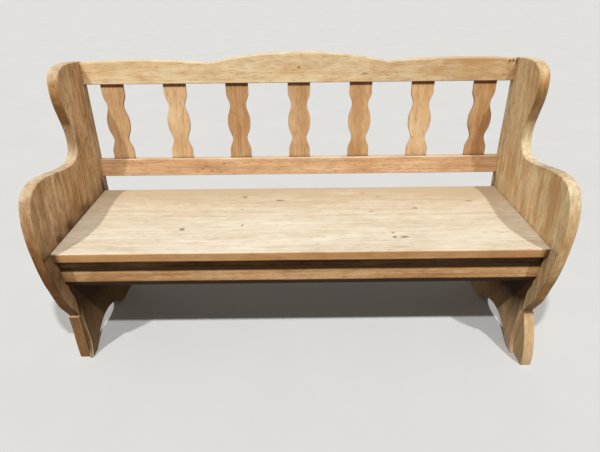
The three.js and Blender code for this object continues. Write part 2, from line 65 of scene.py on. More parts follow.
def skin(name, loops, wear=0.0):
    """A closed mesh over loops[k, i, xyz]: quads join loop k to loop k + 1, and both end loops are capped.

    The loops are turned round if their area points against the direction of travel, so that faces point
    outwards: the area vector is half the sum of each point crossed with the next one. wear[k, i] says how
    much each point is rubbed, and the material reads it as the attribute of that name."""
    around = loops.shape[1]
    wear = np.broadcast_to(wear, loops.shape[:2])
    area = np.cross(loops[0], np.roll(loops[0], -1, axis=0)).sum(0) / 2
    if area @ (loops[-1].mean(0) - loops[0].mean(0)) < 0:
        loops, wear = loops[:, ::-1], wear[:, ::-1]
    k, i = np.meshgrid(np.arange(len(loops) - 1), np.arange(around), indexing="ij")
    j = (i + 1) % around
    quads = np.stack([k * around + i, k * around + j, (k + 1) * around + j, (k + 1) * around + i], axis=-1)
    first = np.arange(around)[::-1]
    last = np.arange(around) + (len(loops) - 1) * around
    faces = [*quads.reshape(-1, 4).tolist(), first.tolist(), last.tolist()]
    mesh = bpy.data.meshes.new(name)
    mesh.from_pydata(loops.reshape(-1, 3).tolist(), [], faces)
    rubbed = mesh.attributes.new("wear", "FLOAT", "POINT")
    rubbed.data.foreach_set("value", wear.astype(np.float32).ravel())
    mesh.shade_smooth()
    mesh.set_sharp_from_angle(angle=SHARP_EDGE)
    piece = bpy.data.objects.new(name, mesh)
    bpy.context.collection.objects.link(piece)
    piece.modifiers.new("even_shading", "WEIGHTED_NORMAL").keep_sharp = True
    return piece


def tell(pieces):
    """Prints the length, depth and height of each piece: how far its points spread along X, Y and Z."""
    for piece in pieces:
        points = np.empty(3 * len(piece.data.vertices), np.float32)
        piece.data.vertices.foreach_get("co", points)
        spread = np.ptp(points.reshape(-1, 3), axis=0)
        print(f"{piece.name}:", *np.round(spread * 1000, 1), "mm")


print("edges sharper than", round(math.degrees(SHARP_EDGE)), "degrees stay crisp")

# %% [markdown]
# ## Smooth outlines
#
# The ends and slats were cut on a band saw along a drawn curve. A curve that passes through every drawn
# point without swinging out between them is a Catmull-Rom curve with centripetal spacing, the same one that
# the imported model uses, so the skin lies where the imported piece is, only finer.

# %% Helper: smooth line through drawn points
SPAN_STEPS = 40


def even_steps(line, count):
    """The line resampled at count points, with equal lengths between them."""
    run = np.concatenate([[0], np.cumsum(np.linalg.norm(np.diff(line, axis=0), axis=1))])
    at = np.linspace(0, run[-1], count)
    return np.stack([np.interp(at, run, line[:, n]) for n in range(line.shape[1])], axis=1)


def smooth_line(points, count):
    """count points at equal steps along a centripetal Catmull-Rom curve through the given points.

    On the span from p1 to p2, t0, t1 and t2 are the square roots of the distances from p0 to p1, p1 to p2
    and p2 to p3. The tangent at p1 is t1 times (p1 - p0)/t0 - (p2 - p0)/(t0 + t1) + (p2 - p1)/t1, the one
    at p2 is made the same way from p1, p2 and p3, and the span is the Hermite cubic between them."""
    line = np.asarray(points, float)
    line = np.vstack([2 * line[0] - line[1], line, 2 * line[-1] - line[-2]])
    t = np.sqrt(np.linalg.norm(np.diff(line, axis=0), axis=1))[:, None]
    p0, p1, p2, p3 = line[:-3], line[1:-2], line[2:-1], line[3:]
    t0, t1, t2 = t[:-2], t[1:-1], t[2:]
    start = ((p1 - p0) / t0 - (p2 - p0) / (t0 + t1) + (p2 - p1) / t1) * t1
    end = ((p2 - p1) / t1 - (p3 - p1) / (t1 + t2) + (p3 - p2) / t2) * t1
    s = np.linspace(0, 1, SPAN_STEPS, endpoint=False)[None, :, None]
    p1, p2, start, end = p1[:, None], p2[:, None], start[:, None], end[:, None]
    spans = (2 * s**3 - 3 * s**2 + 1) * p1 + (s**3 - 2 * s**2 + s) * start
    spans = spans + (3 * s**2 - 2 * s**3) * p2 + (s**3 - s**2) * end
    return even_steps(np.vstack([spans.reshape(-1, line.shape[1]), line[-2]]), count)


print("middle of a smooth line through three points:", smooth_line([[0, 0], [1, 1], [2, 0]], count=3)[1])

# %% [markdown]
# ## Boards cut to an outline
#
# A board has two flat faces and a sawn edge that was sanded round. A Bevel modifier gives one radius to all
# edges, and here joints are crisper than handled edges. So the outline stands in the (Y, Z) plane and
# travels along X with a radius of its own at each point: it starts a little small, swells to its full size
# over a quarter circle, and shrinks again at the far face.

# %% Helper: board with rounded edges
EDGE_STEPS = 6
LEAST_DIVISOR = 0.4


def outward(outline):
    """Outward mitre of each point of an anticlockwise outline: the two edge normals added, then divided by
    one plus their dot product, so that an inset of r moves both edges by r. The divisor is kept from
    getting so small that a sharp corner would grow a spike."""
    ahead = np.roll(outline, -1, axis=0) - outline
    ahead /= np.linalg.norm(ahead, axis=1)[:, None]
    normal = np.stack([ahead[:, 1], -ahead[:, 0]], axis=1)
    before = np.roll(normal, 1, axis=0)
    return (normal + before) / np.maximum(1 + (normal * before).sum(1), LEAST_DIVISOR)[:, None]


def board(name, outline, x0, x1, radius):
    """outline[i] = (y, z), anticlockwise seen from +X, between x0 and x1; radius r is a number or one per
    point.

    The turn a runs down from a quarter circle to 0. The loop then stands at x0 + r (1 - sin a), and it is
    inset by r (1 - cos a); at the far face the same loops come in reverse, up to x1."""
    radius = np.broadcast_to(radius, len(outline))[:, None]
    turn = np.linspace(math.pi / 2, 0, EDGE_STEPS)
    mitre = outward(outline)
    first, last = [], []
    for a in turn:
        flat = outline - mitre * radius * (1 - math.cos(a))
        first.append(np.hstack([x0 + radius * (1 - math.sin(a)), flat]))
        last.append(np.hstack([x1 - radius * (1 - math.sin(a)), flat]))
    rubbed = np.sin(2 * turn)
    return skin(name, np.array(first + last[::-1]), np.concatenate([rubbed, rubbed[::-1]])[:, None])


print("mitre at a square's corner:", outward(np.array([[0.0, 0.0], [1.0, 0.0], [1.0, 1.0], [0.0, 1.0]]))[0])

# %% [markdown]
# ## Sizes shared by several pieces
#
# The seat's front edge, the leaning line of the back and the arch between the feet shape more than one
# board. The front edge could be a number too, but where it lies depends on how the whole bench was
# centred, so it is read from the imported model. All other sizes are the bench's own and stand here.

# %% Shared sizes
SEAT_TOP, SEAT_DEPTH = 0.430, 0.411
SEAT_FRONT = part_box("seat_plank_1")[0].y
INNER_HALF, CHEEK = 0.725, 0.033
ANKLE_TOP, ANKLE_SETBACK = 0.168, 0.024
ANKLE_FRONT = SEAT_FRONT + ANKLE_SETBACK
FOOT_LEDGE, FOOT_DEPTH = 0.009, 0.060
FOOT_REAR = ANKLE_FRONT - FOOT_LEDGE + FOOT_DEPTH
GLUE = 0.0003
print("seat front edge at y =", round(SEAT_FRONT, 5), "and rear of the foot blocks at", round(FOOT_REAR, 5))

# %% The leaning line of the back
LEAN = math.radians(7.5)
BACK_GAP, BACK_THICK = 0.0045, 0.026
BACK_FACE = SEAT_FRONT + SEAT_DEPTH + BACK_GAP


def on_back(forward, along):
    """(y, z) of points that lie forward of the back rails' faces, and along the lean from the seat's
    level: along times (sin, cos) of the lean, less forward times (cos, -sin)."""
    forward, along = np.asarray(forward, float), np.asarray(along, float)
    y = BACK_FACE + along * math.sin(LEAN) - forward * math.cos(LEAN)
    return np.stack([y, SEAT_TOP + along * math.cos(LEAN) + forward * math.sin(LEAN)], axis=-1)


def rear_edge(z):
    """y of the cheeks' straight rear edge at height z, which carries the rear faces of the back rails to
    the floor: y at the seat's level plus the height over it times the tangent of the lean."""
    y, z_seat = on_back(-BACK_THICK, 0)
    return y + (z - z_seat) * math.tan(LEAN)


print("heels at y =", round(rear_edge(0), 4))

# %% The arch between the feet
ARCH_TALL, ARCH_SETBACK, HEEL = 0.066, 0.032, 0.100
ARCH_FRONT = SEAT_FRONT + ARCH_SETBACK
ARCH_REAR = rear_edge(0) - HEEL


def arch(y0, y1, count):
    """Points under the arch from y0 to y1. Its height is a parabola between the two feet: ARCH_TALL times
    one minus the square of the distance from the middle in half widths."""
    y = np.linspace(y0, y1, count)
    middle, half = (ARCH_FRONT + ARCH_REAR) / 2, (ARCH_REAR - ARCH_FRONT) / 2
    return np.stack([y, np.maximum(0, ARCH_TALL * (1 - ((y - middle) / half) ** 2))], axis=1)


print("arch from", round(ARCH_FRONT, 4), "to", round(ARCH_REAR, 4))

# %% [markdown]
# ## The two end cheeks
#
# Each end is one 33 mm slab. Its front edge climbs from the ankle, swells into the arm, runs back along the
# arm's top and rises again into a wing. A drawn curve object could follow it, but points given as shares of
# the arm's and the wing's reach stay true when those sizes change. They run from the top down.

# %% Points drawn on the cheek
WING_RISE, WING_REACH = 0.445, 0.160
ARM_RISE, ARM_OVERHANG = 0.198, 0.033
wing = np.array([
    [0.28, 1], [0.5, 0.994], [0.73, 0.976], [0.87, 0.946], [0.965, 0.9], [1, 0.83], [0.985, 0.75],
    [0.91, 0.66], [0.83, 0.577], [0.792, 0.5], [0.805, 0.445], [0.87, 0.39], [1.01, 0.349]])
arm_top = np.array([[0.87, 0.872], [0.7, 0.905], [0.53, 0.957], [0.36, 0.998], [0.21, 1], [0.1, 0.952]])
arm_front = np.array([[-0.24, 0.874], [0.21, 0.758], [0.61, 0.596], [0.85, 0.42], [0.97, 0.24], [1, 0.07]])
ankle = np.array([
    [0, 0.94], [0.018, 0.817], [0.088, 0.656], [0.215, 0.511], [0.34, 0.37], [0.45, 0.26], [0.7, 0.134],
    [1, 0]])


def cheek_front():
    """The drawn front of a cheek from the wing's top to the ankle, as a smooth line of (y, z) points."""
    wing_line = on_back(wing[:, 0] * WING_REACH, wing[:, 1] * WING_RISE)
    arm_span = wing_line[-1, 0] - SEAT_FRONT
    arm_y = [SEAT_FRONT + arm_top[:, 0] * arm_span, SEAT_FRONT - arm_front[:, 0] * ARM_OVERHANG]
    arm_z = SEAT_TOP + np.concatenate([arm_top[:, 1], arm_front[:, 1]]) * ARM_RISE
    low = np.stack([
        SEAT_FRONT - ARM_OVERHANG + ankle[:, 0] * (ANKLE_FRONT - SEAT_FRONT + ARM_OVERHANG),
        ANKLE_TOP + ankle[:, 1] * (SEAT_TOP - ANKLE_TOP)], axis=1)
    arm = np.stack([np.concatenate(arm_y), arm_z], axis=1)
    return smooth_line(np.vstack([wing_line, arm, low]), count=330)


drawn_front = cheek_front()
print("cheek front:", len(drawn_front), "points, foremost at y =", round(drawn_front[:, 0].min(), 4))

# %% The cheeks
WING_CORNER, CORNER_POINTS = 0.012, 7
SANDED_EDGE, FLOOR_EDGE, ANKLE_EDGE, JOINT_EDGE = 0.004, 0.0025, 0.001, 0.0004
ENDS = {"left": -1, "right": 1}


def rounded_tip(before, tip, after):
    """Quadratic arc that cuts a tip off: (1 - s) squared times its start, plus 2 s (1 - s) times the tip,
    plus s squared times its end. Start and end lie WING_CORNER from the tip, towards its neighbours."""
    start = tip + (before - tip) / np.linalg.norm(before - tip) * WING_CORNER
    end = tip + (after - tip) / np.linalg.norm(after - tip) * WING_CORNER
    s = np.linspace(0, 1, CORNER_POINTS)[:, None]
    return (1 - s) ** 2 * start + 2 * s * (1 - s) * tip + s**2 * end


def cheek_outline():
    """Outline of a cheek above its foot block, anticlockwise, and the edge radius at each of its points."""
    heel, top_rear = np.array([rear_edge(0), 0]), on_back(-BACK_THICK, WING_RISE)
    turn = rounded_tip(drawn_front[0], top_rear, heel)[::-1]
    under = arch(FOOT_REAR, ARCH_REAR, count=26)
    rear = np.linspace(heel, turn[0], num=30)[:-1]
    outline = np.vstack([under, rear, turn, drawn_front, [[FOOT_REAR, ANKLE_TOP]]])
    radius = np.full(len(outline), SANDED_EDGE)
    radius[: len(under) + 1] = FLOOR_EDGE
    radius[-1] = radius[0] = JOINT_EDGE
    radius[-2] = ANKLE_EDGE
    return outline, radius


def end_span(side, inner, outer):
    """The two x values, in rising order, of a board between two distances from the bench's middle."""
    return sorted([side * inner, side * outer])


cheek_reach = INNER_HALF, INNER_HALF + CHEEK
cheek_line, cheek_radius = cheek_outline()
cheeks = {
    hand: board(f"{hand}_cheek", cheek_line, *end_span(side, *cheek_reach), cheek_radius)
    for hand, side in ENDS.items()}
tell(cheeks.values())

# %% [markdown]
# ## Leg boards
#
# A thinner board is glued to the inner face of each cheek. It carries the seat planks, is notched round the
# two seat rails, and sweeps down to the floor in front. The notches could be cut with a Boolean modifier,
# but they lie on the board's rim, so they are simply corners of its outline.

# %% The leg boards
LEG_BOARD, LEG_EDGE, LEG_RECESS = 0.012, 0.0015, 0.034
SEAT_THICK = 0.032
SEAT_UNDER = SEAT_TOP - SEAT_THICK
RAIL_SETBACK, FRONT_RAIL_THICK, FRONT_RAIL_TALL = 0.016, 0.025, 0.103
EASE_TALL, EASE_DEEP = 0.023, 0.008
REAR_RAIL_THICK, REAR_RAIL_TALL, REAR_RAIL_INSET = 0.022, 0.074, 0.010
FRONT_RAIL_LOW, REAR_RAIL_LOW = SEAT_UNDER - FRONT_RAIL_TALL, SEAT_UNDER - REAR_RAIL_TALL
leg_sweep = np.array([
    [0.71, 0.985], [0.74, 0.924], [0.95, 0.834], [0.96, 0.742], [0.84, 0.644], [0.66, 0.554],
    [0.56, 0.427], [0.55, 0.295], [0.41, 0.165], [0.14, 0.061], [-0.15, 0]])


def leg_outline():
    """Anticlockwise outline of a leg board: toe, arch, heel, notch of the rear rail, top, notch of the
    front rail, and the sweep down to the toe."""
    rail_front = SEAT_FRONT + RAIL_SETBACK
    eased, rail_rear = rail_front + EASE_DEEP, rail_front + FRONT_RAIL_THICK + GLUE
    back_rail = SEAT_FRONT + SEAT_DEPTH - REAR_RAIL_INSET - REAR_RAIL_THICK - GLUE
    top, under_rear, under_front = SEAT_UNDER - GLUE, REAR_RAIL_LOW - GLUE, FRONT_RAIL_LOW - GLUE
    corners = np.array([
        [rear_edge(0), 0], [rear_edge(under_rear), under_rear], [back_rail, under_rear], [back_rail, top],
        [rail_rear, top], [rail_rear, under_front]])
    sweep = np.stack([SEAT_FRONT + leg_sweep[:, 0] * LEG_RECESS, leg_sweep[:, 1] * FRONT_RAIL_LOW], axis=1)
    sweep = smooth_line(np.vstack([[eased, under_front], sweep]), count=90)
    return np.vstack([arch(ARCH_FRONT, ARCH_REAR, count=40), corners, sweep])


leg_reach = INNER_HALF - GLUE - LEG_BOARD, INNER_HALF - GLUE
legs = {
    hand: board(f"{hand}_leg", leg_outline(), *end_span(side, *leg_reach), LEG_EDGE)
    for hand, side in ENDS.items()}
tell(legs.values())

# %% [markdown]
# ## Foot blocks
#
# The toe is a separate block under the cheek's ankle, with a level joint line that shows. It could be part
# of the cheek's outline, but the two blocks differ: the left one is a soft S, the right one a bow that runs
# further forward. So each is a board of its own, with a formula for how its front runs out as it drops.

# %% The foot blocks
TOE_RUN = {"left": 0.015, "right": 0.072}
TOE_SHAPE = {
    "left": lambda drop: (1 - np.cos(math.pi * drop)) / 2,
    "right": lambda drop: np.sin(math.pi * drop / 2)}


def foot_outline(hand):
    """Front of the block from its top down, y = top's y - toe run * shape(drop) with drop from 0 to 1, then
    the arch and the rear corner."""
    drop = np.linspace(0, 1, num=40)
    top = ANKLE_TOP - GLUE
    toe = ANKLE_FRONT - FOOT_LEDGE - TOE_RUN[hand] * TOE_SHAPE[hand](drop)
    under = arch(ARCH_FRONT, FOOT_REAR - GLUE, count=14)
    return np.vstack([np.stack([toe, top * (1 - drop)], axis=1), under, [[FOOT_REAR - GLUE, top]]])


feet = {
    hand: board(f"{hand}_foot", foot_outline(hand), *end_span(side, *cheek_reach), FLOOR_EDGE)
    for hand, side in ENDS.items()}
tell(feet.values())

# %% [markdown]
# ## Long pieces
#
# Rails and planks keep one section all the way along. A bevelled box would look machined: a hand plane
# never leaves an edge perfectly straight. So each corner of the section has a radius of its own, and radii
# and faces may wander along the piece by a fraction of a millimetre.

# %% Helper: sections with soft corners
CORNER_STEPS = 6
# Corners of a section in order: at the far a or not, at the far b or not, and the angle where the arc starts
SECTION_CORNERS = (0, 1, 90), (0, 0, 180), (1, 0, 270), (1, 1, 0)
# A corner is rubbed most at its middle, and the flat between two corners not at all
RUBBED_CORNERS = np.tile(np.sin(np.linspace(0, math.pi, CORNER_STEPS)), len(SECTION_CORNERS))


def column(value):
    """A number, or one value per station, as a column that spreads along the points of each station."""
    return np.atleast_1d(np.asarray(value, float))[:, None]


def soft_section(a0, a1, b0, b1, radii):
    """Loops[s, i] = (a, b) of rectangles with rounded corners at (a0, b1), (a0, b0), (a1, b0) and (a1, b1).

    Every limit and radius is a number or one value per station s. A corner is its centre plus r times
    (cos t, sin t) while t makes a quarter turn."""
    a0, a1, b0, b1 = map(column, (a0, a1, b0, b1))
    arcs = []
    for (far_a, far_b, start), r in zip(SECTION_CORNERS, map(column, radii)):
        t = np.radians(start + np.linspace(0, 90, CORNER_STEPS))
        a = (a1 - r if far_a else a0 + r) + r * np.cos(t)
        b = (b1 - r if far_b else b0 + r) + r * np.sin(t)
        arcs.append(np.stack(np.broadcast_arrays(a, b), axis=-1))
    stations = max(arc.shape[0] for arc in arcs)
    return np.concatenate([np.broadcast_to(arc, (stations, *arc.shape[1:])) for arc in arcs], axis=1)


print("points round one soft section:", soft_section(0, 1, 0, 1, [0.1] * 4).shape[1])

# %% Helper: a section carried along the bench
# Waves of the plane's wander: radians per metre, share of the size, and how far the seed shifts the wave
PLANE_WAVES = (9.1, 1.0, 1.0), (23.7, 0.6, 2.3), (61, 0.4, 4.1)


def hand_wander(x, size, seed):
    """A smooth wander of about +-size along x: half the size times the sum of share * sin(x * wave + shift *
    seed), over three waves whose lengths share no common measure."""
    return size * sum(share * np.sin(x * wave + shift * seed) for wave, share, shift in PLANE_WAVES) / 2


def along_x(name, x, loops):
    """A skin whose loops[s] = (y, z) stand at x[s]; a single loop serves every station."""
    loops = np.broadcast_to(loops, (len(x), *loops.shape[1:]))
    upright = np.broadcast_to(x[:, None, None], (*loops.shape[:2], 1))
    return skin(name, np.concatenate([upright, loops], axis=2), RUBBED_CORNERS)


x_long = np.linspace(-INNER_HALF + GLUE, INNER_HALF - GLUE, num=180)
print("a 1 mm wander swings", round(np.ptp(hand_wander(x_long, 1, 0)), 2), "mm over the bench's length")

# %% [markdown]
# ## Seat planks
#
# Four planks lie edge to edge, so even that their joints are only faint lines. One slab with painted lines
# would do from far off, but real seams catch light and dirt. The front plank has the rounded nose that legs
# rub against, and a lower corner that was planed off as much.

# %% The seat planks
PLANKS = 4
pitch = SEAT_DEPTH / PLANKS
NOSE, SEAM_EDGE, SEAT_REAR_EDGE = 0.0042, 0.0007, 0.002
planks = []
for n in range(PLANKS):
    front = SEAT_FRONT + n * pitch + (GLUE / 2 if n else 0)
    rear = SEAT_FRONT + (n + 1) * pitch - (GLUE / 2 if n < PLANKS - 1 else 0)
    front_edge, rear_top = SEAM_EDGE, SEAM_EDGE
    if n == 0:
        front_edge = NOSE + np.abs(hand_wander(x_long, 0.0008, seed=0))
        front = front + np.abs(hand_wander(x_long, 0.0006, seed=5))
    if n == PLANKS - 1:
        rear_top = SEAT_REAR_EDGE
    section = soft_section(front, rear, SEAT_UNDER, SEAT_TOP, (front_edge, front_edge, SEAM_EDGE, rear_top))
    planks.append(along_x(f"seat_board_{n + 1}", x_long, section))
tell(planks)

# %% [markdown]
# ## Seat rails
#
# A tall rail set back under the seat's front edge, and a lower one at the rear, carry the planks between
# the ends. The front rail's lower edge is eased by a long curve, too flat for a corner radius. So its
# section starts as the common one, and the points of that one corner are then laid on the curve.

# %% The two seat rails
RAIL_EDGE = 0.002


def front_rail_loops():
    """Section of the front rail: its lower front corner is the quadratic curve from EASE_DEEP in, on the
    underside, to EASE_TALL up, on the face."""
    rail_face = SEAT_FRONT + RAIL_SETBACK
    front = rail_face + np.abs(hand_wander(x_long, 0.0003, seed=2))
    loops = soft_section(
        front, rail_face + FRONT_RAIL_THICK, FRONT_RAIL_LOW, SEAT_UNDER - GLUE, [RAIL_EDGE] * 4)
    face, bend, under = np.array([[0, EASE_TALL], [EASE_DEEP / 3, EASE_TALL / 3], [EASE_DEEP, 0]])
    s = np.linspace(0, 1, CORNER_STEPS)[:, None]
    eased = (1 - s) ** 2 * face + 2 * s * (1 - s) * bend + s**2 * under
    loops[:, CORNER_STEPS:2 * CORNER_STEPS, 0] = front[:, None] + eased[:, 0]
    loops[:, CORNER_STEPS:2 * CORNER_STEPS, 1] = FRONT_RAIL_LOW + eased[:, 1]
    return loops


front_rail = along_x("front_rail", x_long, front_rail_loops())
rear_face = SEAT_FRONT + SEAT_DEPTH - REAR_RAIL_INSET
rear_rail = along_x("rear_rail", x_long, soft_section(
    rear_face - REAR_RAIL_THICK, rear_face, REAR_RAIL_LOW, SEAT_UNDER - GLUE,
    [RAIL_EDGE + hand_wander(x_long, 0.0005, seed=7)] * 4))
tell([front_rail, rear_rail])

# %% [markdown]
# ## Back rails
#
# Two rails hold the slats between them. The lower rail is straight; the crest rises in a hump over the
# middle and falls to a cusp on each side, and its top is worn round by hands. A level rail could be turned
# by the lean, but a finished piece's object stays unturned, so the section's points are laid in the back's
# own leaning frame.

# %% The back rails
LOWER_RAIL_RISE, LOWER_RAIL_TALL = 0.052, 0.062
SLAT_FOOT, SLAT_CLEAR = LOWER_RAIL_RISE + LOWER_RAIL_TALL, 0.258
CREST_RISE = SLAT_FOOT + SLAT_CLEAR
CUSP_X, CUSP_TALL = INNER_HALF * 0.41, 0.066
HUMP, SHOULDER_SLOPE, SHOULDER_SWELL = 0.0315, 0.005, 0.032
HAND_ROUND, LOWER_RAIL_ROUND = 0.008, 0.004


def crest_height(x):
    """Height of the crest over its underside: inside the cusps a parabola, outside them a slope with a low
    swell, which is SHOULDER_SWELL times t (1 - t) with t from 0 at the cusp to 1 at the cheek."""
    out = np.abs(x)
    t = (out - CUSP_X) / (INNER_HALF - CUSP_X)
    hump = CUSP_TALL + HUMP * (1 - (out / CUSP_X) ** 2)
    return np.where(out < CUSP_X, hump, CUSP_TALL + SHOULDER_SLOPE * t + SHOULDER_SWELL * t * (1 - t))


def along_back(name, x, loops):
    """Like along_x, for loops[s] = (forward, along) in the leaning frame of the back."""
    return along_x(name, x, on_back(loops[..., 0], loops[..., 1]))


x_crest = np.unique(np.concatenate([x_long, [-CUSP_X, CUSP_X]]))
top_round = HAND_ROUND + hand_wander(x_crest, 0.0007, seed=3)
crest = along_back("crest", x_crest, soft_section(
    -BACK_THICK, 0, CREST_RISE, CREST_RISE + crest_height(x_crest),
    (top_round, RAIL_EDGE, RAIL_EDGE, top_round)))
front_top = LOWER_RAIL_ROUND + hand_wander(x_long, 0.0008, seed=1)
lower_rail = along_back("lower_rail", x_long, soft_section(
    -BACK_THICK, 0, LOWER_RAIL_RISE, SLAT_FOOT, (RAIL_EDGE, RAIL_EDGE, RAIL_EDGE, front_top)))
tell([crest, lower_rail])

# %% [markdown]
# ## Wavy slats
#
# Seven thin slats were sawn to the same wavy line, left and right alike. One could be made and its object
# moved, but every piece here keeps its place in its mesh. So the section climbs each slat anew, round that
# slat's own middle: at every height it spans the half width that the drawn line gives.

# %% The wavy slats
SLATS, SLAT_WIDE, SLAT_THICK, SLAT_END_GAP, SLAT_EDGE = 7, 0.078, 0.010, 0.051, 0.0018
SLAT_FACE = -(BACK_THICK - SLAT_THICK) / 2
slat_shares = np.array([
    [0.96, 0.1], [0.93, 0.14], [0.79, 0.195], [0.67, 0.245], [0.66, 0.285], [0.77, 0.335], [0.92, 0.39],
    [1, 0.46], [0.99, 0.54], [0.92, 0.595], [0.79, 0.65], [0.715, 0.7], [0.75, 0.755], [0.88, 0.805],
    [0.98, 0.85]])
slat_x = np.linspace(-1, 1, SLATS) * (INNER_HALF - SLAT_END_GAP - SLAT_WIDE / 2)
slat_line = np.stack([slat_shares[:, 0] * SLAT_WIDE / 2, SLAT_FOOT + slat_shares[:, 1] * SLAT_CLEAR], axis=1)
slat_line = smooth_line(slat_line, count=90)
slat_line = np.vstack([
    [slat_line[0, 0], SLAT_FOOT + GLUE], slat_line, [slat_line[-1, 0], CREST_RISE - GLUE]])


def slat(name, x):
    """Stations climb the slat; each one's section spans the wavy half width at that height."""
    half, up = slat_line[:, 0], slat_line[:, 1]
    section = soft_section(x - half, x + half, SLAT_FACE - SLAT_THICK, SLAT_FACE, [SLAT_EDGE] * 4)
    leaning = on_back(section[..., 1], np.broadcast_to(up[:, None], section.shape[:2]))
    return skin(name, np.concatenate([section[..., :1], leaning], axis=2), RUBBED_CORNERS)


slats = [slat(f"slat_{n + 1}", x) for n, x in enumerate(slat_x)]
print("slats at x =", np.round(slat_x, 3))

# %% [markdown]
# ## Materials written as code
#
# A material is a small network of nodes. It could be drawn by hand in the Shader Editor, but written down
# it can be read like a recipe. These helpers each place a node and wire it up, so that a step of a formula
# stays one line.

# %% Helpers: nodes
def wire(tree, kind, inputs=None, **settings):
    """One shader node with its settings; each input is given a value or linked to another node's output."""
    node = tree.nodes.new("ShaderNode" + kind)
    for key, value in settings.items():
        setattr(node, key, value)
    for key, value in (inputs or {}).items():
        if isinstance(value, bpy.types.NodeSocket):
            tree.links.new(value, node.inputs[key])
        else:
            node.inputs[key].default_value = value
    return node


def calc(tree, operation, *values, clamp=False):
    """Output of a Math node over up to three numbers or sockets."""
    return wire(tree, "Math", dict(enumerate(values)), operation=operation, use_clamp=clamp).outputs[0]


def vector(tree, operation, *values):
    """Vector output of a Vector Math node."""
    return wire(tree, "VectorMath", dict(enumerate(values)), operation=operation).outputs[0]


def dot(tree, a, b):
    """Dot product of two vectors."""
    return wire(tree, "VectorMath", {0: a, 1: b}, operation="DOT_PRODUCT").outputs["Value"]


def blend(tree, factor, below, above, mode="MIX"):
    """Colour output of a Mix node: below where the factor is 0, and above, or below times above, where it
    is 1."""
    inputs = {"Factor": factor, 6: below, 7: above}
    return wire(tree, "Mix", inputs, data_type="RGBA", blend_type=mode).outputs[2]


def ease(tree, value, low, high):
    """Smooth step: 0 below low, 1 above high."""
    return wire(tree, "MapRange", {0: value, 1: low, 2: high}, interpolation_type="SMOOTHSTEP").outputs[0]


def stretched_noise(tree, place, scale, detail=2.0, roughness=0.5):
    """Noise between 0 and 1 whose spots are stretched: scale is spots per metre along, across and deep."""
    at = vector(tree, "MULTIPLY", place, scale)
    return wire(tree, "TexNoise", {"Vector": at, "Scale": 1.0, "Detail": detail, "Roughness": roughness})


node_helpers = wire, calc, vector, dot, blend, ease, stretched_noise
print("helpers for nodes:", *(helper.__name__ for helper in node_helpers))

# %% [markdown]
# ## Old pine
#
# Sawn pine shows its growth rings as long fine lines, because the saw cuts a stack of slightly crooked
# cylinders. A picture of grain would repeat and stretch at the edges, so the rings are worked out in space
# instead: the distance from a wandering heart line, divided by the width of one year, gives the same figure
# on the face, the edge and the end of a board. After decades of wax and light the rings have nearly drowned
# in patina, so they stay faint here, and streaks, short dark flecks, stains the size of a hand and a slow
# blotch carry most of the look.

# %% Noises of the figure
# Spots per metre along, across and deep in the board, then how much fine detail is added
CROOKED_TRUNK = (1.1, 2.2, 2.2), 1.5
RIPPLE = (7, 30, 30), 2.0
STREAKS = (2.4, 75, 75), 4.0, 0.62
BLOTCHES = (4.5, 13, 13), 4.0, 0.6
STAINS = (17, 52, 52), 3.0, 0.6
FIBRES = (22, 520, 520), 2.0, 0.6
DASHES = (38, 330, 330), 1.0, 0.5
SEED_STEP = (7.3, 3.1, 5.7)
print("a streak is about", *(round(1000 / spots) for spots in STREAKS[0]), "mm long, wide and deep")

# %% Helper: growth rings
# How far the heart line wanders, and by how many years ripples and knots push the rings
HEART_WANDER, RIPPLE_YEARS, KNOT_YEARS = 0.06, 1.1, 2.2
# Darkness across one ring: slow from pale early wood to dark late wood, then a quick end
RING_STOPS = (0.45, 0.2), (0.8, 1.0), (0.93, 0.8)
FAINTEST_RING = 0.2


def growth_rings(tree, given, shifted):
    """Distance from the wandering heart line over the width of a year, in years, plus the ripples' and
    knots' push. Its fraction gives the darkness across a ring, and its whole part makes some years
    fainter."""
    crooked = stretched_noise(tree, shifted, *CROOKED_TRUNK)
    wander = vector(tree, "SUBTRACT", crooked.outputs["Color"], (0.5, 0.5, 0.5))
    from_heart = vector(tree, "ADD", given["Board"], given["Heart"])
    from_heart = vector(tree, "MULTIPLY_ADD", wander, (0, HEART_WANDER, HEART_WANDER), from_heart)
    across = vector(tree, "MULTIPLY", from_heart, (0, 1, 1))
    radius = wire(tree, "VectorMath", {0: across}, operation="LENGTH")
    ripple = stretched_noise(tree, shifted, *RIPPLE)
    years = calc(tree, "DIVIDE", radius.outputs["Value"], given["Year"])
    years = calc(tree, "MULTIPLY_ADD", ripple.outputs["Fac"], RIPPLE_YEARS, years)
    years = calc(tree, "MULTIPLY_ADD", given["Knots"], KNOT_YEARS, years)
    band = wire(tree, "ValToRGB", {"Fac": calc(tree, "FRACT", years)})
    ramp = band.color_ramp
    ramp.interpolation = "EASE"
    for at, level in RING_STOPS:
        ramp.elements.new(at).color = (level, level, level, 1)
    ramp.elements[0].color = ramp.elements[-1].color = (0, 0, 0, 1)
    year = wire(tree, "TexWhiteNoise", {"W": calc(tree, "FLOOR", years)}, noise_dimensions="1D")
    fainter = calc(tree, "MULTIPLY_ADD", year.outputs["Value"], 1 - FAINTEST_RING, FAINTEST_RING)
    return calc(tree, "MULTIPLY", band.outputs["Color"], fainter)


print("darkness at each share of a year's ring:", dict(RING_STOPS))

# %% Node group: the figure of a pine board
FIGURE_INPUTS = {"Board": "Vector", "Heart": "Vector"} | dict.fromkeys(
    ("Year", "Knots", "Figure", "Streak", "Blotch", "Fleck", "Seed"), "Float")
FIBRE, MEAN_TONE = 0.5, 0.42
DASH_BECOMES_FLECK = 0.58, 0.74
RING_RELIEF, FIBRE_RELIEF, FLECK_RELIEF = 0.4, 0.6, -0.5


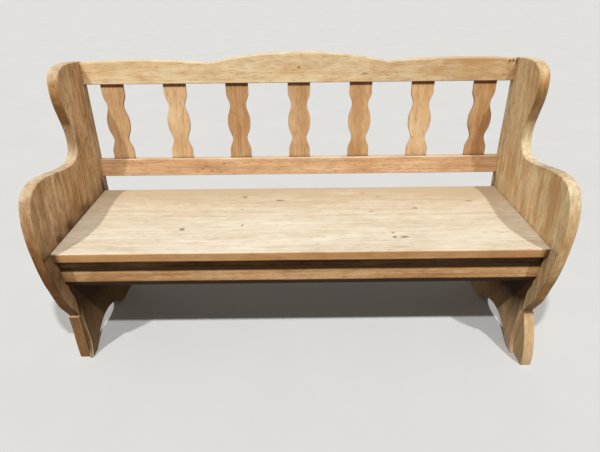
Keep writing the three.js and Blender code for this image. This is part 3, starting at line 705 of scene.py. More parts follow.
def pine_figure_group():
    """Tone = MEAN_TONE + rings * Figure + flecks * Fleck + each centred noise (streak, blotch, stain,
    fibre) * its strength. Height, for the bump, is the sum of rings, fibre and flecks, each times its
    relief: hard late wood stands proud, and flecks are sunk. Patch is the slow blotch by itself."""
    tree = bpy.data.node_groups.new("pine_figure", "ShaderNodeTree")
    for name, kind in FIGURE_INPUTS.items():
        tree.interface.new_socket(name=name, in_out="INPUT", socket_type="NodeSocket" + kind)
    for name in ("Tone", "Height", "Patch"):
        tree.interface.new_socket(name=name, in_out="OUTPUT", socket_type="NodeSocketFloat")
    given = tree.nodes.new("NodeGroupInput").outputs
    shifted = vector(tree, "ADD", given["Board"], vector(tree, "MULTIPLY", SEED_STEP, given["Seed"]))
    ring = growth_rings(tree, given, shifted)
    streak, blotch, stain, fibre, dashes = (
        stretched_noise(tree, shifted, *spots).outputs["Fac"]
        for spots in (STREAKS, BLOTCHES, STAINS, FIBRES, DASHES))
    fleck = ease(tree, dashes, *DASH_BECOMES_FLECK)
    tone = calc(tree, "MULTIPLY_ADD", ring, given["Figure"], MEAN_TONE)
    tone = calc(tree, "MULTIPLY_ADD", fleck, given["Fleck"], tone)
    for noise, strength in (
            (streak, given["Streak"]), (blotch, given["Blotch"]), (stain, given["Blotch"]), (fibre, FIBRE)):
        tone = calc(tree, "MULTIPLY_ADD", calc(tree, "SUBTRACT", noise, 0.5), strength, tone)
    height = calc(tree, "MULTIPLY_ADD", ring, RING_RELIEF, calc(tree, "MULTIPLY", fibre, FIBRE_RELIEF))
    height = calc(tree, "MULTIPLY_ADD", fleck, FLECK_RELIEF, height)
    out = tree.nodes.new("NodeGroupOutput")
    for name, socket in (("Tone", tone), ("Height", height), ("Patch", blotch)):
        tree.links.new(socket, out.inputs[name])
    return tree


PINE_FIGURE = pine_figure_group()
print("nodes in the pine figure:", len(PINE_FIGURE.nodes))

# %% [markdown]
# ## What use did to the boards, and painted light and shade
#
# Faces that look up were scrubbed and bleached, and are painted a little lighter where the light falls from
# above; faces that look down kept their darkest wax and are painted in shade; and dirt gathered in the
# corners where one board meets another, where painted shade and shadow lie as well. It could be painted on by
# hand, but the surface normal tells which way a face looks, so one material covers a whole board. Knots are
# soft bells round a point, which both darken the wood and push the rings aside.

# %% Helpers: spots, and dirt and painted shade in corners
ANYWHERE, ALONG, ACROSS = (0, 0, 0), (1, 0, 0), (0, 1, 0)


def spot_field(tree, place, spots):
    """Sum over the spots of strength * exp(-d squared), where d is the distance from the spot in half
    widths.

    A spot is (along, across, half width along, half width across, strength); it runs through the board, so
    depth is left out. Knots, stains and smudges are all drawn this way."""
    total = 0.0
    for along, across, wide, tall, strength in spots:
        away = vector(tree, "SUBTRACT", place, (along, across, 0))
        d = vector(tree, "MULTIPLY", away, (1 / wide, 1 / tall, 0))
        bell = calc(tree, "EXPONENT", calc(tree, "MULTIPLY", dot(tree, d, d), -1.0))
        total = calc(tree, "MULTIPLY_ADD", bell, strength, total)
    return total


def corner(axis, at, reach, strength, look=ANYWHERE, edge=1):
    """A corner where dirt gathers or shade is painted: it fades over reach from the place at, along a board
    axis. A higher edge keeps it even and ends it sharply. look limits it to faces that look that way."""
    return axis, at, reach, strength, look, edge


def grime_field(tree, place, facing, corners):
    """Sum over the corners of strength * exp(-(distance / reach) ** edge)."""
    total = 0.0
    for axis, at, reach, strength, look, edge in corners:
        away = calc(tree, "ABSOLUTE", calc(tree, "SUBTRACT", dot(tree, place, axis), at))
        away = calc(tree, "MULTIPLY", calc(tree, "POWER", calc(tree, "DIVIDE", away, reach), edge), -1.0)
        dirt_and_shade = calc(tree, "MULTIPLY", calc(tree, "EXPONENT", away), strength)
        if any(look):
            dirt_and_shade = calc(tree, "MULTIPLY", dirt_and_shade, calc(tree, "MAXIMUM", dot(tree, facing, look), 0.0))
        total = calc(tree, "ADD", dirt_and_shade, total)
    return total


print("a corner's axis, place, reach, strength, look and edge:", corner(ALONG, 0.0, 0.01, 1.0))

# %% Helpers: bleached, waxed and soiled wood, with painted light and shade
WARM, AMBER = (1.0, 0.86, 0.7, 1), (0.95, 0.76, 0.48, 1)
# Dark wax, and painted shade, for faces that look down and get less light from above
WAX_AND_SHADE_BROWN = (0.24, 0.105, 0.028, 1)
# Colour of dirt in corners, and of painted shade and painted shadows
GRIME_AND_SHADE_BROWN = (0.095, 0.034, 0.008, 1)
# Painted shade on the front rail and the leg boards, and dirt at the front rail's ends
SOOT_AND_SHADE_BROWN = (0.055, 0.025, 0.008, 1)
# From where to where each effect sets in: warm patches by the blotch, the rest by how far a face turns
# towards the sky, towards the floor or across the grain
WARM_FROM, LOOKS_UP, LOOKS_DOWN, CUTS_GRAIN = (0.4, 0.62), (0.25, 0.9), (0.0, 0.3), (0.3, 0.8)
WARMTH, EVENLY, IN_PATCHES = 0.5, 0.4, 1.2


def weathered(tree, tone, patch, up, aged, bleached, bleach, rubbed):
    """Aged wood, warmer in patches, turned to bleached wood by the larger of two shares: bleach where a face
    looks up, which is scrubbing and partly painted light and sheen from above, and wear * 2 * rubbed * patch
    along the edges."""
    colour = blend(tree, tone, *aged)
    warmth = calc(tree, "MULTIPLY", ease(tree, patch, *WARM_FROM), WARMTH)
    colour = blend(tree, warmth, colour, WARM, "MULTIPLY")
    # Paler where a face looks up: scrubbed and bleached, and partly a painted light from above
    scrubbed_and_lit = calc(tree, "MULTIPLY", ease(tree, up, *LOOKS_UP), bleach)
    worn = wire(tree, "Attribute", attribute_name="wear").outputs["Fac"]
    worn = calc(tree, "MULTIPLY", worn, calc(tree, "MULTIPLY", patch, 2 * rubbed))
    pale = calc(tree, "MAXIMUM", scrubbed_and_lit, worn, clamp=True)
    return blend(tree, pale, colour, blend(tree, tone, *bleached))


def darkened(tree, colour, patch, place, facing, up, shade, amber, corners, smudges, grime):
    """Dark wax and painted shade on faces that look down, golden wax, then dirt and painted shade from
    corners and smudges. Each share is multiplied by EVENLY + IN_PATCHES * patch, so that nothing lies on all
    the same."""
    uneven = calc(tree, "MULTIPLY_ADD", patch, IN_PATCHES, EVENLY)
    # Faces that look down are darkened: dark wax, and painted shade where less light reaches them
    wax_and_shade = calc(tree, "MULTIPLY", ease(tree, calc(tree, "MULTIPLY", up, -1.0), *LOOKS_DOWN), shade)
    colour = blend(tree, calc(tree, "MULTIPLY", wax_and_shade, uneven, clamp=True), colour, WAX_AND_SHADE_BROWN)
    if amber:
        golden = calc(tree, "MULTIPLY", grime_field(tree, place, facing, amber), uneven, clamp=True)
        colour = blend(tree, golden, colour, AMBER, "MULTIPLY")
    dirt_and_shade = calc(tree, "ADD", grime_field(tree, place, facing, corners), spot_field(tree, place, smudges))
    return blend(tree, calc(tree, "MULTIPLY", dirt_and_shade, uneven, clamp=True), colour, grime)


not_above, full_below = (round(math.degrees(math.acos(share))) for share in LOOKS_UP)
print("a face is bleached in full below a tilt of", full_below, "degrees, and not at all above", not_above)

# %% Pine as a material
KNOT_BROWN = (0.19, 0.1, 0.04, 1)
KNOT_RIM, KNOT_DARKEST = (0.15, 0.95), 0.8
SATIN, SATIN_BY_TONE = 0.5, 0.12
BUMP, BUMP_HEIGHT = 0.45, 0.0005
WAX_COAT, WAX_COAT_ROUGHNESS = 0.03, 0.4


def grain_axis(turn):
    """The bench's direction in which the grain of a board with this turn runs."""
    return tuple(Euler(turn).to_matrix().col[0])


def pine(
        name, centre, turn, aged, bleached, heart=(0, 0.11, 0.12), year=0.0035, figure=0.3, streak=0.9,
        blotch=0.9, fleck=0.5, bleach=0.6, shade=0.85, rubbed=0.4, seed=0.0, knots=(), stains=(), smudges=(),
        corners=(), amber=(), grime=GRIME_AND_SHADE_BROWN, shine=0.16):
    """A pine material. centre and turn place the board's own axes (along, across, deep) in the bench; aged
    and bleached are pairs of colours, early wood and late wood.

    heart is the way from the tree's heart to the board's middle, and year the width of a ring. figure,
    streak, blotch and fleck say how strongly each shows; bleach, shade and rubbed, how much is scrubbed and
    painted lighter where a face looks up, waxed and painted in shade where a face looks down, and worn. A
    stain of strength 1 turns early wood into late wood, and a smudge of strength 1 hides the wood under dirt
    or painted shade. amber lists corners where the wax turned golden."""
    material = bpy.data.materials.new(name)
    material.use_nodes = True
    tree = material.node_tree
    tree.nodes.clear()
    point = tree.nodes.new("ShaderNodeTexCoord").outputs["Object"]
    onto_board = {"Vector": point, "Location": centre, "Rotation": turn}
    place = wire(tree, "Mapping", onto_board, vector_type="TEXTURE").outputs[0]
    facing = tree.nodes.new("ShaderNodeNewGeometry").outputs["Normal"]
    up = dot(tree, facing, (0, 0, 1))
    end_grain = ease(tree, calc(tree, "ABSOLUTE", dot(tree, facing, grain_axis(turn))), *CUTS_GRAIN)
    face_fleck = calc(tree, "MULTIPLY_ADD", end_grain, -fleck, fleck)
    spots = spot_field(tree, place, knots)
    grain = wire(tree, "Group", {
        "Board": place, "Heart": heart, "Year": year, "Knots": spots, "Figure": figure, "Streak": streak,
        "Blotch": blotch, "Fleck": face_fleck, "Seed": seed}, node_tree=PINE_FIGURE)
    tone = calc(tree, "ADD", grain.outputs["Tone"], spot_field(tree, place, stains), clamp=True)
    patch = grain.outputs["Patch"]
    colour = weathered(tree, tone, patch, up, aged, bleached, bleach, rubbed)
    colour = darkened(tree, colour, patch, place, facing, up, shade, amber, corners, smudges, grime)
    if knots:
        dark = calc(tree, "MULTIPLY", ease(tree, spots, *KNOT_RIM), KNOT_DARKEST)
        colour = blend(tree, dark, colour, KNOT_BROWN)
    bump = wire(tree, "Bump", {
        "Height": grain.outputs["Height"], "Strength": BUMP, "Distance": BUMP_HEIGHT}).outputs[0]
    rough = calc(tree, "MULTIPLY_ADD", grain.outputs["Tone"], SATIN_BY_TONE, SATIN)
    shader = wire(tree, "BsdfPrincipled", {
        "Base Color": colour, "Roughness": rough, "Normal": bump, "Specular IOR Level": shine,
        "Coat Weight": WAX_COAT, "Coat Roughness": WAX_COAT_ROUGHNESS})
    out = tree.nodes.new("ShaderNodeOutputMaterial")
    tree.links.new(shader.outputs[0], out.inputs[0])
    return material


print("roughness is", SATIN, "in pale wood and", SATIN + SATIN_BY_TONE, "in dark wood")

# %% [markdown]
# ## How the grain lies
#
# A joiner lays the grain along each board's length: along X in level rails, straight up the legs, up the
# lean in slats, and in the cheeks it leans back a little more than that. Every board has its own axes,
# along, across and deep, and a turn says how they stand in the bench.

# %% Board axes
ALONG_X = (0, 0, 0)
RAIL_FACE = (math.pi / 2, 0, 0)
BACK_RAIL = (math.pi / 2 - LEAN, 0, 0)
UPRIGHT = Matrix(((0, 0, -1), (0, 1, 0), (1, 0, 0))).to_euler()
CHEEK_GRAIN = math.radians(12)
GRAIN_SIN, GRAIN_COS = math.sin(CHEEK_GRAIN), math.cos(CHEEK_GRAIN)
UP_THE_CHEEK = Matrix(((0, 0, -1), (GRAIN_SIN, GRAIN_COS, 0), (GRAIN_COS, -GRAIN_SIN, 0))).to_euler()
HEIGHT_ON_CHEEK = (GRAIN_COS, -GRAIN_SIN, 0)
UP_THE_LEAN = Matrix((
    (0, -1, 0), (math.sin(LEAN), 0, -math.cos(LEAN)), (math.cos(LEAN), 0, math.sin(LEAN)))).to_euler()
FORWARD_FACES = (0, -1, 0)


def centre_of(node):
    """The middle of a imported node's box."""
    low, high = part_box(node)
    return (low + high) / 2


def on_board(node, spots, lean=0.0):
    """Spots given by height and distance behind the seat's front edge, moved to the axes of a board whose
    grain leans back by that angle: both distances from the board's middle are turned by it."""
    middle = centre_of(node)
    up = [(z - middle.z, SEAT_FRONT + y - middle.y, *rest) for z, y, *rest in spots]
    s, c = math.sin(lean), math.cos(lean)
    return [(z * c + y * s, y * c - z * s, *rest) for z, y, *rest in up]


print("grain of the cheeks runs along", np.round(grain_axis(UP_THE_CHEEK), 3))

# %% [markdown]
# ## Colours
#
# Boards of one bench come from different trees and took up the wax differently: the seat is scrubbed pale,
# the crest is honey, slats and lower rail lean to orange, and the ends are the brownest. One colour ramp
# for all would make the bench look dipped in stain, so each kind of board has a pair: early wood, then late
# wood.

# %% Colours of the boards
SEAT_AGED = (0.86, 0.505, 0.235, 1), (0.57, 0.29, 0.11, 1)
SEAT_BLEACHED = (0.92, 0.85, 0.69, 1), (0.63, 0.49, 0.32, 1)
BLEACHED = (0.88, 0.77, 0.58, 1), (0.66, 0.48, 0.28, 1)
BLEACHED_END = (0.79, 0.69, 0.52, 1), (0.56, 0.43, 0.27, 1)
PALE_HONEY = (1.0, 0.81, 0.51, 1), (0.64, 0.41, 0.2, 1)
HONEY = (0.9, 0.65, 0.37, 1), (0.56, 0.34, 0.16, 1)
ORANGE = (0.96, 0.61, 0.31, 1), (0.58, 0.3, 0.125, 1)
LOWER_RAIL = (0.95, 0.64, 0.39, 1), (0.55, 0.32, 0.16, 1)
SLAT = (0.94, 0.66, 0.38, 1), (0.58, 0.34, 0.16, 1)
CHESTNUT = (0.64, 0.37, 0.17, 1), (0.36, 0.17, 0.065, 1)
CHEEK_WOOD = {
    "left": ((0.87, 0.63, 0.37, 1), (0.36, 0.2, 0.09, 1)),
    "right": ((1.0, 0.83, 0.52, 1), (0.65, 0.42, 0.21, 1))}
LEG_WOOD = {
    "left": ((0.36, 0.24, 0.11, 1), (0.17, 0.09, 0.037, 1)),
    "right": ((0.95, 0.67, 0.4, 1), (0.5, 0.31, 0.15, 1))}
FOOT_WOOD = {
    "left": ((0.34, 0.185, 0.07, 1), (0.2, 0.09, 0.03, 1)),
    "right": ((0.82, 0.62, 0.38, 1), (0.54, 0.36, 0.18, 1))}
print("early and late wood of the crest:", *PALE_HONEY)

# %% Helper: finish of one piece
def finish_piece(piece, node, slot, turn, aged, bleached, **wood):
    """The piece takes its pine, stands for its CAD node and rides on the bench. slot is not used."""
    material = pine(piece.name, centre_of(node), turn, aged, bleached, **wood)
    piece.data.materials.append(material)
    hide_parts(node)
    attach(piece, "root")
    print(f"{piece.name} stands for {node}: {len(material.node_tree.nodes)} nodes")


# %% [markdown]
# ## Finish of the seat
#
# The seat is the palest part: sat on, scrubbed and bleached by the light. Its knots lie scattered over the
# whole seat, so they are listed once in the seat's own measure, and each plank takes the ones that fall on
# it. They could be drawn by a noise, but then none would lie where the real ones do.

# %% Finish of the seat planks
# Knots: x, distance behind the front edge, half length, half width and strength
seat_knots = [
    (-0.374, 0.126, 0.009, 0.009, 1), (-0.186, 0.147, 0.006, 0.006, 0.9), (-0.075, 0.15, 0.009, 0.004, 0.5),
    (-0.562, 0.052, 0.016, 0.006, 0.4), (0.146, 0.036, 0.008, 0.004, 0.4), (0.286, 0.098, 0.006, 0.008, 1),
    (0.286, 0.07, 0.007, 0.006, 1), (0.317, 0.07, 0.018, 0.007, 0.9), (-0.198, 0.249, 0.008, 0.006, 0.6),
    (0.39, 0.247, 0.012, 0.005, 1), (0.239, 0.228, 0.014, 0.006, 0.65), (0.59, 0.293, 0.018, 0.007, 0.7),
    (-0.586, 0.362, 0.01, 0.006, 0.4), (-0.197, 0.343, 0.014, 0.012, 0.75),
    (-0.071, 0.315, 0.02, 0.008, 0.8), (0.227, 0.361, 0.01, 0.006, 0.6), (0.279, 0.336, 0.009, 0.006, 0.6)]
# The seat is palest near its front edge and darker towards its rear edge: distance behind the front edge,
# reach and strength
seat_shades = [(0.06, 0.14, -0.16), (0.44, 0.13, 0.7)]
BEYOND_BOTH_ENDS = 9.0
plank_end_dirt_and_shade = [corner(ALONG, side * INNER_HALF, 0.006, 0.12) for side in ENDS.values()]
# At the right end a wide, faint corner paints shade where the right cheek's shadow falls on the seat
plank_end_dirt_and_shade.append(corner(ALONG, INNER_HALF, 0.19, 0.07, edge=3))
# Painted shadows of the arms on both ends of the seat's front edge
nose_end_shadows = [corner(ALONG, side * INNER_HALF, 0.0155, 0.7, FORWARD_FACES, edge=14) for side in ENDS.values()]
for n, piece in enumerate(planks):
    middle = (n + 0.5) * pitch
    knots = [(x, y - middle, *rest) for x, y, *rest in seat_knots if abs(y - middle) < pitch / 2]
    shades = [(0.0, y - middle, BEYOND_BOTH_ENDS, reach, strength) for y, reach, strength in seat_shades]
    joints = [side * pitch / 2 for side in ENDS.values() if n or side > 0]
    seams = [corner(ACROSS, at, 0.0012, 0.1, (0, 0, 1)) for at in joints]
    finish_piece(
        piece, f"seat_plank_{n + 1}", "seat_pine", ALONG_X, SEAT_AGED, SEAT_BLEACHED, year=0.003, bleach=1.0,
        figure=0.35, blotch=0.8, fleck=0.45, seed=n * 1.7, knots=knots, stains=shades,
        corners=plank_end_dirt_and_shade + seams + ([] if n else nose_end_shadows))

# %% [markdown]
# ## Finish of the seat rails
#
# The front rail is painted nearly black along its top, a painted shadow of the seat's overhang, and along its
# eased lower edge, painted shade where it turns down, and shows wood only in between. The rendered shadow
# alone would not get so dark, so the shade is painted as two wide corners, with less of it right at the top,
# where the seat throws its rendered shadow as well.

# %% Finish of the seat rails
rail_ends = [corner(ALONG, side * INNER_HALF, 0.006, 0.5) for side in ENDS.values()]
RAIL_TOP = FRONT_RAIL_TALL / 2
# Painted shadow from the top down, less of it right under the seat, and painted shade along the eased lower
# edge
painted_rail_shade = [
    corner(ACROSS, RAIL_TOP, 0.043, 1.8, edge=12), corner(ACROSS, RAIL_TOP, 0.0305, -1.05, edge=14),
    corner(ACROSS, -RAIL_TOP, 0.021, 1.4, edge=8)]
finish_piece(
    front_rail, "front_seat_rail", "rail_pine", RAIL_FACE, ORANGE, BLEACHED, seed=11.0, streak=3.0,
    blotch=1.4, fleck=1.3, shade=1.0, grime=SOOT_AND_SHADE_BROWN, shine=0.1, corners=rail_ends + painted_rail_shade)
finish_piece(
    rear_rail, "rear_seat_rail", "rail_pine", RAIL_FACE, ORANGE, BLEACHED, seed=12.0, corners=rail_ends)

# %% [markdown]
# ## Finish of the back rails
#
# The crest is handled most and stays honey coloured, with a few long stains, some dirty marks near its right
# end, and there a painted shadow of the right cheek. The lower rail is warmer, with a group of knots left of
# the middle. Every mark is a soft bell of its own: along, across, half length, half width and strength,
# measured from the middle of the rail.

# %% Finish of the back rails
finish_piece(
    crest, "crest_rail", "rail_pine", BACK_RAIL, PALE_HONEY, BLEACHED, seed=13.0, streak=1.2, blotch=1.3,
    fleck=0.7, bleach=0.9, corners=rail_ends,
    stains=[(0.6, 0.0, 0.25, 0.08, 0.4), (0.0, 0.0, 0.3, 0.1, -0.12), (-0.5, 0.0, 0.3, 0.1, -0.42),
            (0.1, 0.01, 0.02, 0.015, 0.25), (-0.3, 0.0, 0.03, 0.03, 0.2), (0.33, 0.01, 0.06, 0.012, 0.3)],
    knots=[(0.0, 0.0, 0.006, 0.005, 0.9), (0.221, -0.022, 0.018, 0.005, 0.7)],
    # The faint, wide smudge at 0.702 paints the right cheek's shadow on the crest's end; the three strong
    # small ones are dirty marks
    smudges=[(0.7, 0.013, 0.004, 0.005, 0.9), (0.711, 0.015, 0.003, 0.006, 1.0),
             (0.7235, 0.012, 0.003, 0.009, 1.0), (0.702, -0.012, 0.009, 0.014, 0.3),
             (0.69, -0.03, 0.012, 0.006, 0.3)])
finish_piece(
    lower_rail, "lower_back_rail", "slat_pine", BACK_RAIL, LOWER_RAIL, BLEACHED, seed=14.0, bleach=0.8,
    streak=1.6, fleck=0.9, corners=rail_ends,
    stains=[(-0.31, 0.0, 0.06, 0.02, 0.3), (0.62, 0.0, 0.12, 0.05, 0.3)],
    knots=[(-0.355, -0.008, 0.005, 0.005, 0.8), (-0.375, -0.018, 0.01, 0.006, 0.6),
           (-0.275, 0.012, 0.007, 0.005, 0.8)],
    smudges=[(-0.34, 0.004, 0.006, 0.003, 0.4), (-0.322, -0.016, 0.007, 0.004, 0.4),
             (-0.3, -0.01, 0.005, 0.003, 0.4), (-0.29, -0.02, 0.006, 0.003, 0.4),
             (-0.2, 0.012, 0.006, 0.002, 0.3)])

# %% [markdown]
# ## Finish of the slats
#
# The slats come from different boards, so some lean towards chestnut and some are paler than the rest. Seven
# pairs of colours would do it too. Here one number says how far each slat stands from slat wood towards
# chestnut, and two slats are paler than slat wood itself, so theirs is below zero. Dirt sits where a slat
# meets the lower rail, and at its top a painted shadow of the crest darkens it.

# %% Finish of the slats
slat_shade = [0.3, -0.4, 0.5, 0.35, 0.15, -0.25, 0.65]
# Stains by slat, from the left: along, across, half sizes and strength
slat_stains = {
    2: [(-0.07, 0, 0.05, 0.05, 0.45)], 3: [(-0.05, 0, 0.06, 0.05, 0.2)], 4: [(-0.1, 0, 0.03, 0.05, 0.15)],
    5: [(-0.1, 0, 0.03, 0.05, 0.25)], 6: [(-0.11, 0, 0.02, 0.05, 0.3)], 7: [(-0.02, 0, 0.07, 0.04, 0.35)]}
# The first corner is dirt where a slat meets the lower rail; the second, at the top, is a painted shadow of
# the crest's overhang
slat_end_dirt_and_shadow = [corner(ALONG, -SLAT_CLEAR / 2, 0.005, 0.8), corner(ALONG, SLAT_CLEAR / 2, 0.011, 0.65, edge=6)]


def between(first, second, share):
    """A pair of colours part of the way from one pair to another."""
    return tuple(tuple(a + (b - a) * share for a, b in zip(one, two)) for one, two in zip(first, second))


for n, (piece, dark) in enumerate(zip(slats, slat_shade), 1):
    finish_piece(
        piece, f"back_slat_{n}", "slat_pine", UP_THE_LEAN, between(SLAT, CHESTNUT, dark), BLEACHED,
        heart=(0, 0.03 * (-1) ** n, 0.09), seed=20.0 + n * 2.3, streak=1.2, fleck=0.8, corners=slat_end_dirt_and_shadow,
        stains=slat_stains.get(n, ()))

# %% [markdown]
# ## Finish of the cheeks
#
# The ends are the brownest wood. Above and below the arm their front edges are amber with wax, and darkened
# with dirt and painted shade where they turn down. Their inner faces carry dark lines where the seat meets
# them, painted shade in the corner behind the seat's rear edge, and on the left painted shade under the seat.
# The two ends differ, so each value that differs is given per end. Marks could be placed in the axes of the
# leaning grain, but height and depth are what can be measured, so they are given and then turned.

# %% Finish of the cheeks
# Stains and smudges: height, distance behind the seat's front edge, half sizes and strength
cheek_stains = {
    "left": [(0.47, 0.08, 0.05, 0.08, 0.25), (0.72, 0.33, 0.12, 0.1, -0.35)],
    "right": [(0.565, 0.068, 0.075, 0.032, 0.65), (0.75, 0.31, 0.08, 0.02, 0.3),
              (0.55, 0.2, 0.09, 0.015, -0.3), (0.7, 0.35, 0.18, 0.12, -0.2)]}
# Smudges are dirt; the ones at the seat's rear corner, below the lower rail, are painted shade as well
cheek_smudges_and_shade = {
    "left": [(0.445, 0.06, 0.012, 0.02, 0.5), (0.45, 0.13, 0.018, 0.025, 0.5),
             (0.455, 0.405, 0.03, 0.012, 0.9), (0.45, 0.25, 0.012, 0.03, 0.4),
             (0.52, 0.35, 0.02, 0.03, 0.15), (0.655, 0.315, 0.03, 0.02, 0.35)],
    "right": [(0.455, 0.42, 0.03, 0.008, 0.7), (0.625, 0.16, 0.02, 0.06, 0.35),
              (0.655, 0.315, 0.03, 0.02, 0.15)]}
# Dark lines on the inner face, dirt where the seat meets it and on the left a painted shade under the seat:
# height, reach and strength
cheek_lines_and_shade = {
    "left": [(SEAT_TOP, 0.004, 0.3), (SEAT_TOP, 0.03, 0.45), (0.345, 0.065, 0.6)],
    "right": [(SEAT_TOP, 0.003, 0.35)]}
WING_HEIGHT, WING_GOLD_HEIGHT, ANKLE_HEIGHT = 0.78, 0.8, 0.34
wing_dirt_and_shade, ankle_dirt_and_shade = {"left": 0.45, "right": 0.6}, {"left": 0.66, "right": 0.1}
ankle_gold = {"left": 1.0, "right": 0.6}
cheek_streak, cheek_shade = {"left": 1.3, "right": 2.2}, {"left": 0.9, "right": 0.6}
for hand, side in ENDS.items():
    node = f"{hand}_end_cheek"
    level = centre_of(node).z
    dirt_and_shade = [corner(HEIGHT_ON_CHEEK, z - level, *line, (-side, 0, 0)) for z, *line in cheek_lines_and_shade[hand]]
    # On the forward faces at the wing and the ankle: painted shade, with some dirt, where the front edge
    # turns down
    dirt_and_shade += [corner(HEIGHT_ON_CHEEK, WING_HEIGHT - level, 0.055, wing_dirt_and_shade[hand], FORWARD_FACES, edge=2),
             corner(HEIGHT_ON_CHEEK, ANKLE_HEIGHT - level, 0.14, ankle_dirt_and_shade[hand], FORWARD_FACES, edge=3)]
    gold = [corner(HEIGHT_ON_CHEEK, WING_GOLD_HEIGHT - level, 0.07, 0.9, FORWARD_FACES, edge=2),
            corner(HEIGHT_ON_CHEEK, ANKLE_HEIGHT - level, 0.17, ankle_gold[hand], FORWARD_FACES, edge=3)]
    finish_piece(
        cheeks[hand], node, "cheek_pine", UP_THE_CHEEK, CHEEK_WOOD[hand], BLEACHED_END, seed=40.0 + side,
        figure=0.35, streak=cheek_streak[hand], blotch=1.3, fleck=1.2, rubbed=0.2, shade=cheek_shade[hand],
        bleach=0.5, corners=dirt_and_shade, amber=gold, stains=on_board(node, cheek_stains[hand], CHEEK_GRAIN),
        smudges=on_board(node, cheek_smudges_and_shade[hand], CHEEK_GRAIN))

# %% [markdown]
# ## Finish of the leg boards and foot blocks
#
# Under the seat the leg boards lie in the seat's shadow, and painted shade darkens them further, most right
# below the planks. The left foot block is darker than the right one, and the right one shows a thin dark line
# at its joint. The rendered shadow would not get so dark by itself, so a wide soft smudge and one wide corner
# paint shade on each leg board.

# %% Finish of the leg boards and foot blocks
# Painted shade on each leg board, as height, distance behind the seat's front edge, half sizes and strength
LEG_PAINTED_SHADE = (0.28, 0.2, 0.14, 0.17, 1.05)
for hand, side in ENDS.items():
    leg, foot = f"{hand}_leg_board", f"{hand}_front_foot_block"
    # A wide corner of painted shade right below the planks
    painted_shade_below_planks = corner(ALONG, SEAT_UNDER - centre_of(leg).z, 0.22, 1.1, edge=4)
    # rubbed is high here: the pale corners are wear, and a painted highlight along the lit front edges
    finish_piece(
        legs[hand], leg, "leg_pine", UPRIGHT, LEG_WOOD[hand], BLEACHED, seed=44.0 + side, rubbed=1.5,
        grime=SOOT_AND_SHADE_BROWN, corners=[painted_shade_below_planks], smudges=on_board(leg, [LEG_PAINTED_SHADE]))
    joint_line = [corner(ALONG, ANKLE_TOP - centre_of(foot).z, 0.004, 0.9)] if hand == "right" else []
    finish_piece(
        feet[hand], foot, "foot_pine", UPRIGHT, FOOT_WOOD[hand], BLEACHED, seed=48.0 + side, streak=2.0,
        bleach=0.35, corners=joint_line)

# %% [markdown]
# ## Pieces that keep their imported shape
#
# The screws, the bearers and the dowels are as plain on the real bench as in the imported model, and hardly
# any light reaches them. New meshes would add nothing, so they keep their shape and only get better
# materials: turned steel for the screws, pine for the bearers, and a finer, straighter wood for the dowels.

# %% Steel, hidden pine and dowel wood
STEEL_DARK, STEEL_PALE = (0.5, 0.48, 0.42, 1), (0.72, 0.7, 0.64, 1)
TURNING_LINES = (900, 900, 3000)
SMOOTH_STEEL, LINE_ROUGHNESS = 0.2, 0.3
BEARER_LEVEL, DOWEL_LEVEL = 0.39, 0.17


def brushed_steel():
    """Zinc-plated steel: fine turning lines vary the tint, and the roughness from SMOOTH_STEEL upwards by
    LINE_ROUGHNESS * lines."""
    material = bpy.data.materials.new("screw_steel")
    material.use_nodes = True
    tree = material.node_tree
    place = tree.nodes.new("ShaderNodeTexCoord").outputs["Object"]
    lines = stretched_noise(tree, place, TURNING_LINES).outputs["Fac"]
    shader = tree.nodes["Principled BSDF"]
    shader.inputs["Metallic"].default_value = 1.0
    tree.links.new(blend(tree, lines, STEEL_DARK, STEEL_PALE), shader.inputs["Base Color"])
    rough = calc(tree, "MULTIPLY_ADD", lines, LINE_ROUGHNESS, SMOOTH_STEEL)
    tree.links.new(rough, shader.inputs["Roughness"])
    return material


kept_finishes = {
    "seat_screw": brushed_steel(),
    "seat_bearer": pine("bearer", (0, 0, BEARER_LEVEL), (0, 0, math.pi / 2), ORANGE, BLEACHED, seed=60.0),
    "foot_dowel": pine("dowel", (0, 0, DOWEL_LEVEL), UPRIGHT, HONEY, BLEACHED, year=0.002, seed=61.0)}
for kind, material in kept_finishes.items():
    nodes = [part for node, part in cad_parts.items() if kind in node]
    for part in nodes:
        part.material_slots[0].material = material
    print(len(nodes), "nodes of the kind", kind, "take", material.name)

# %% [markdown]
# ## Floor
#
# The bench stands on a wide plain floor that fills the picture. A plain pale floor would throw its light up
# under the seat, where the real bench is dark. So the kind of ray decides which floor it finds: rays from
# the camera, from mirrors and through glass find a pale one, and all other light finds a dark one.

# %% Floor
FLOOR_HALF = 30.0
FLOOR_PALE = (0.68, 0.69, 0.69, 1), (0.75, 0.75, 0.74, 1)
FLOOR_UNSEEN = (0.1, 0.085, 0.07, 1)
FLOOR_MOTTLE = (3, 3, 3), 3.0
FLOOR_ROUGHNESS, FLOOR_SHINE = 0.9, 0.1


def seen(tree):
    """1 for camera, mirror and glass rays, which show the backdrop, and 0 for the light that falls on the
    bench."""
    ray = tree.nodes.new("ShaderNodeLightPath").outputs
    mirrored = calc(tree, "MAXIMUM", ray["Is Glossy Ray"], ray["Is Transmission Ray"])
    return calc(tree, "MAXIMUM", ray["Is Camera Ray"], mirrored)


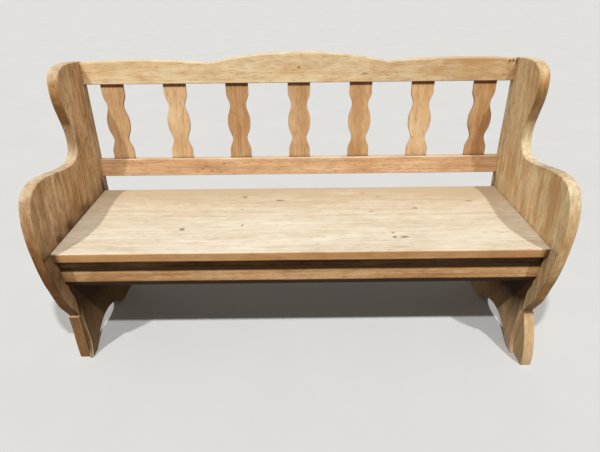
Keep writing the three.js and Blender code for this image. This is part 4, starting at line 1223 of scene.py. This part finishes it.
def plain_floor():
    """A square floor of twice FLOOR_HALF, pale and faintly mottled where it is seen."""
    mesh = bpy.data.meshes.new("floor")
    corners = [(x * FLOOR_HALF, y * FLOOR_HALF, 0) for x, y in ((-1, -1), (1, -1), (1, 1), (-1, 1))]
    mesh.from_pydata(corners, [], [(0, 1, 2, 3)])
    floor = bpy.data.objects.new("floor", mesh)
    bpy.context.collection.objects.link(floor)
    material = bpy.data.materials.new("floor")
    material.use_nodes = True
    tree = material.node_tree
    shader = tree.nodes["Principled BSDF"]
    place = tree.nodes.new("ShaderNodeTexCoord").outputs["Object"]
    pale = blend(tree, stretched_noise(tree, place, *FLOOR_MOTTLE).outputs["Fac"], *FLOOR_PALE)
    tree.links.new(blend(tree, seen(tree), FLOOR_UNSEEN, pale), shader.inputs["Base Color"])
    shader.inputs["Roughness"].default_value = FLOOR_ROUGHNESS
    shader.inputs["Specular IOR Level"].default_value = FLOOR_SHINE
    mesh.materials.append(material)
    return floor


floor = plain_floor()
print("floor:", [round(length, 1) for length in floor.dimensions[:2]], "m")

# %% [markdown]
# ## Light
#
# Two lamps stand high and far off, beyond the ends of the bench and in front of it, so that each end throws
# its shadow on the seat. Area lamps would do, but their light fades with distance and changes direction
# along the bench, so each lamp is a sun whose direction was read from those shadows. The world adds a weak,
# warm light from all round, and a pale backdrop where it is seen.

# %% Lamps and world
LAMP_RISE = 3.0
LAMP_OUT, LAMP_FORWARD = 0.40, 0.50
LAMP_POWER, LAMP_SPREAD = 1.57, math.radians(2.2)
SKY_COLOUR, SKY_STRENGTH = (1.0, 0.92, 0.82, 1), 0.21
PALE_BACKDROP = (0.74, 0.74, 0.73, 1)


def far_lamp(name, side):
    """A sun whose light comes LAMP_OUT from the side and LAMP_FORWARD from the front for each metre that it
    falls."""
    data = bpy.data.lights.new(name, "SUN")
    data.energy, data.angle = LAMP_POWER, LAMP_SPREAD
    lamp = bpy.data.objects.new(name, data)
    towards = Vector((side * LAMP_OUT, -LAMP_FORWARD, 1.0))
    lamp.location = towards * LAMP_RISE
    lamp.rotation_euler = towards.to_track_quat("Z", "Y").to_euler()
    bpy.context.collection.objects.link(lamp)
    print(f"{name}: light from", [round(value, 2) for value in towards.normalized()])


for hand, side in ENDS.items():
    far_lamp(f"{hand}_lamp", side)
world = bpy.data.worlds.new("studio")
world.use_nodes = True
bpy.context.scene.world = world
tree = world.node_tree
sky = tree.nodes["Background"]
sky.inputs["Color"].default_value = SKY_COLOUR
sky.inputs["Strength"].default_value = SKY_STRENGTH
behind = wire(tree, "Background", {"Color": PALE_BACKDROP, "Strength": 1.0})
both = wire(tree, "MixShader", {0: seen(tree), 1: sky.outputs[0], 2: behind.outputs[0]})
tree.links.new(both.outputs[0], tree.nodes["World Output"].inputs[0])

# %% [markdown]
# ## Camera
#
# The camera looks down on the bench from in front, from a good metre up. It could be placed by eye, but its
# place, turn and lens were found by fitting the seat, the ends and the rails, so that the bench fills the
# frame as in the photograph.

# %% Camera
SENSOR, LENS = 36.0, 25.02
CAMERA_PLACE = Vector((-0.00408, SEAT_FRONT - 0.98407, SEAT_TOP + 0.70084))
HEADING, LOOKS_BELOW_LEVEL, ROLL = -0.13, 31.89, -0.56

camera_data = bpy.data.cameras.new("camera")
camera_data.sensor_width, camera_data.lens = SENSOR, LENS
camera = bpy.data.objects.new("camera", camera_data)
heading, tilt, roll = (math.radians(angle) for angle in (HEADING, 90 - LOOKS_BELOW_LEVEL, ROLL))
camera.matrix_world = (
    Matrix.Translation(CAMERA_PLACE)
    @ Matrix.Rotation(heading, 4, "Z") @ Matrix.Rotation(tilt, 4, "X") @ Matrix.Rotation(roll, 4, "Z"))
bpy.context.collection.objects.link(camera)
bpy.context.scene.camera = camera
bpy.context.scene.view_settings.view_transform = "Standard"
print("camera at", [round(value, 3) for value in CAMERA_PLACE])
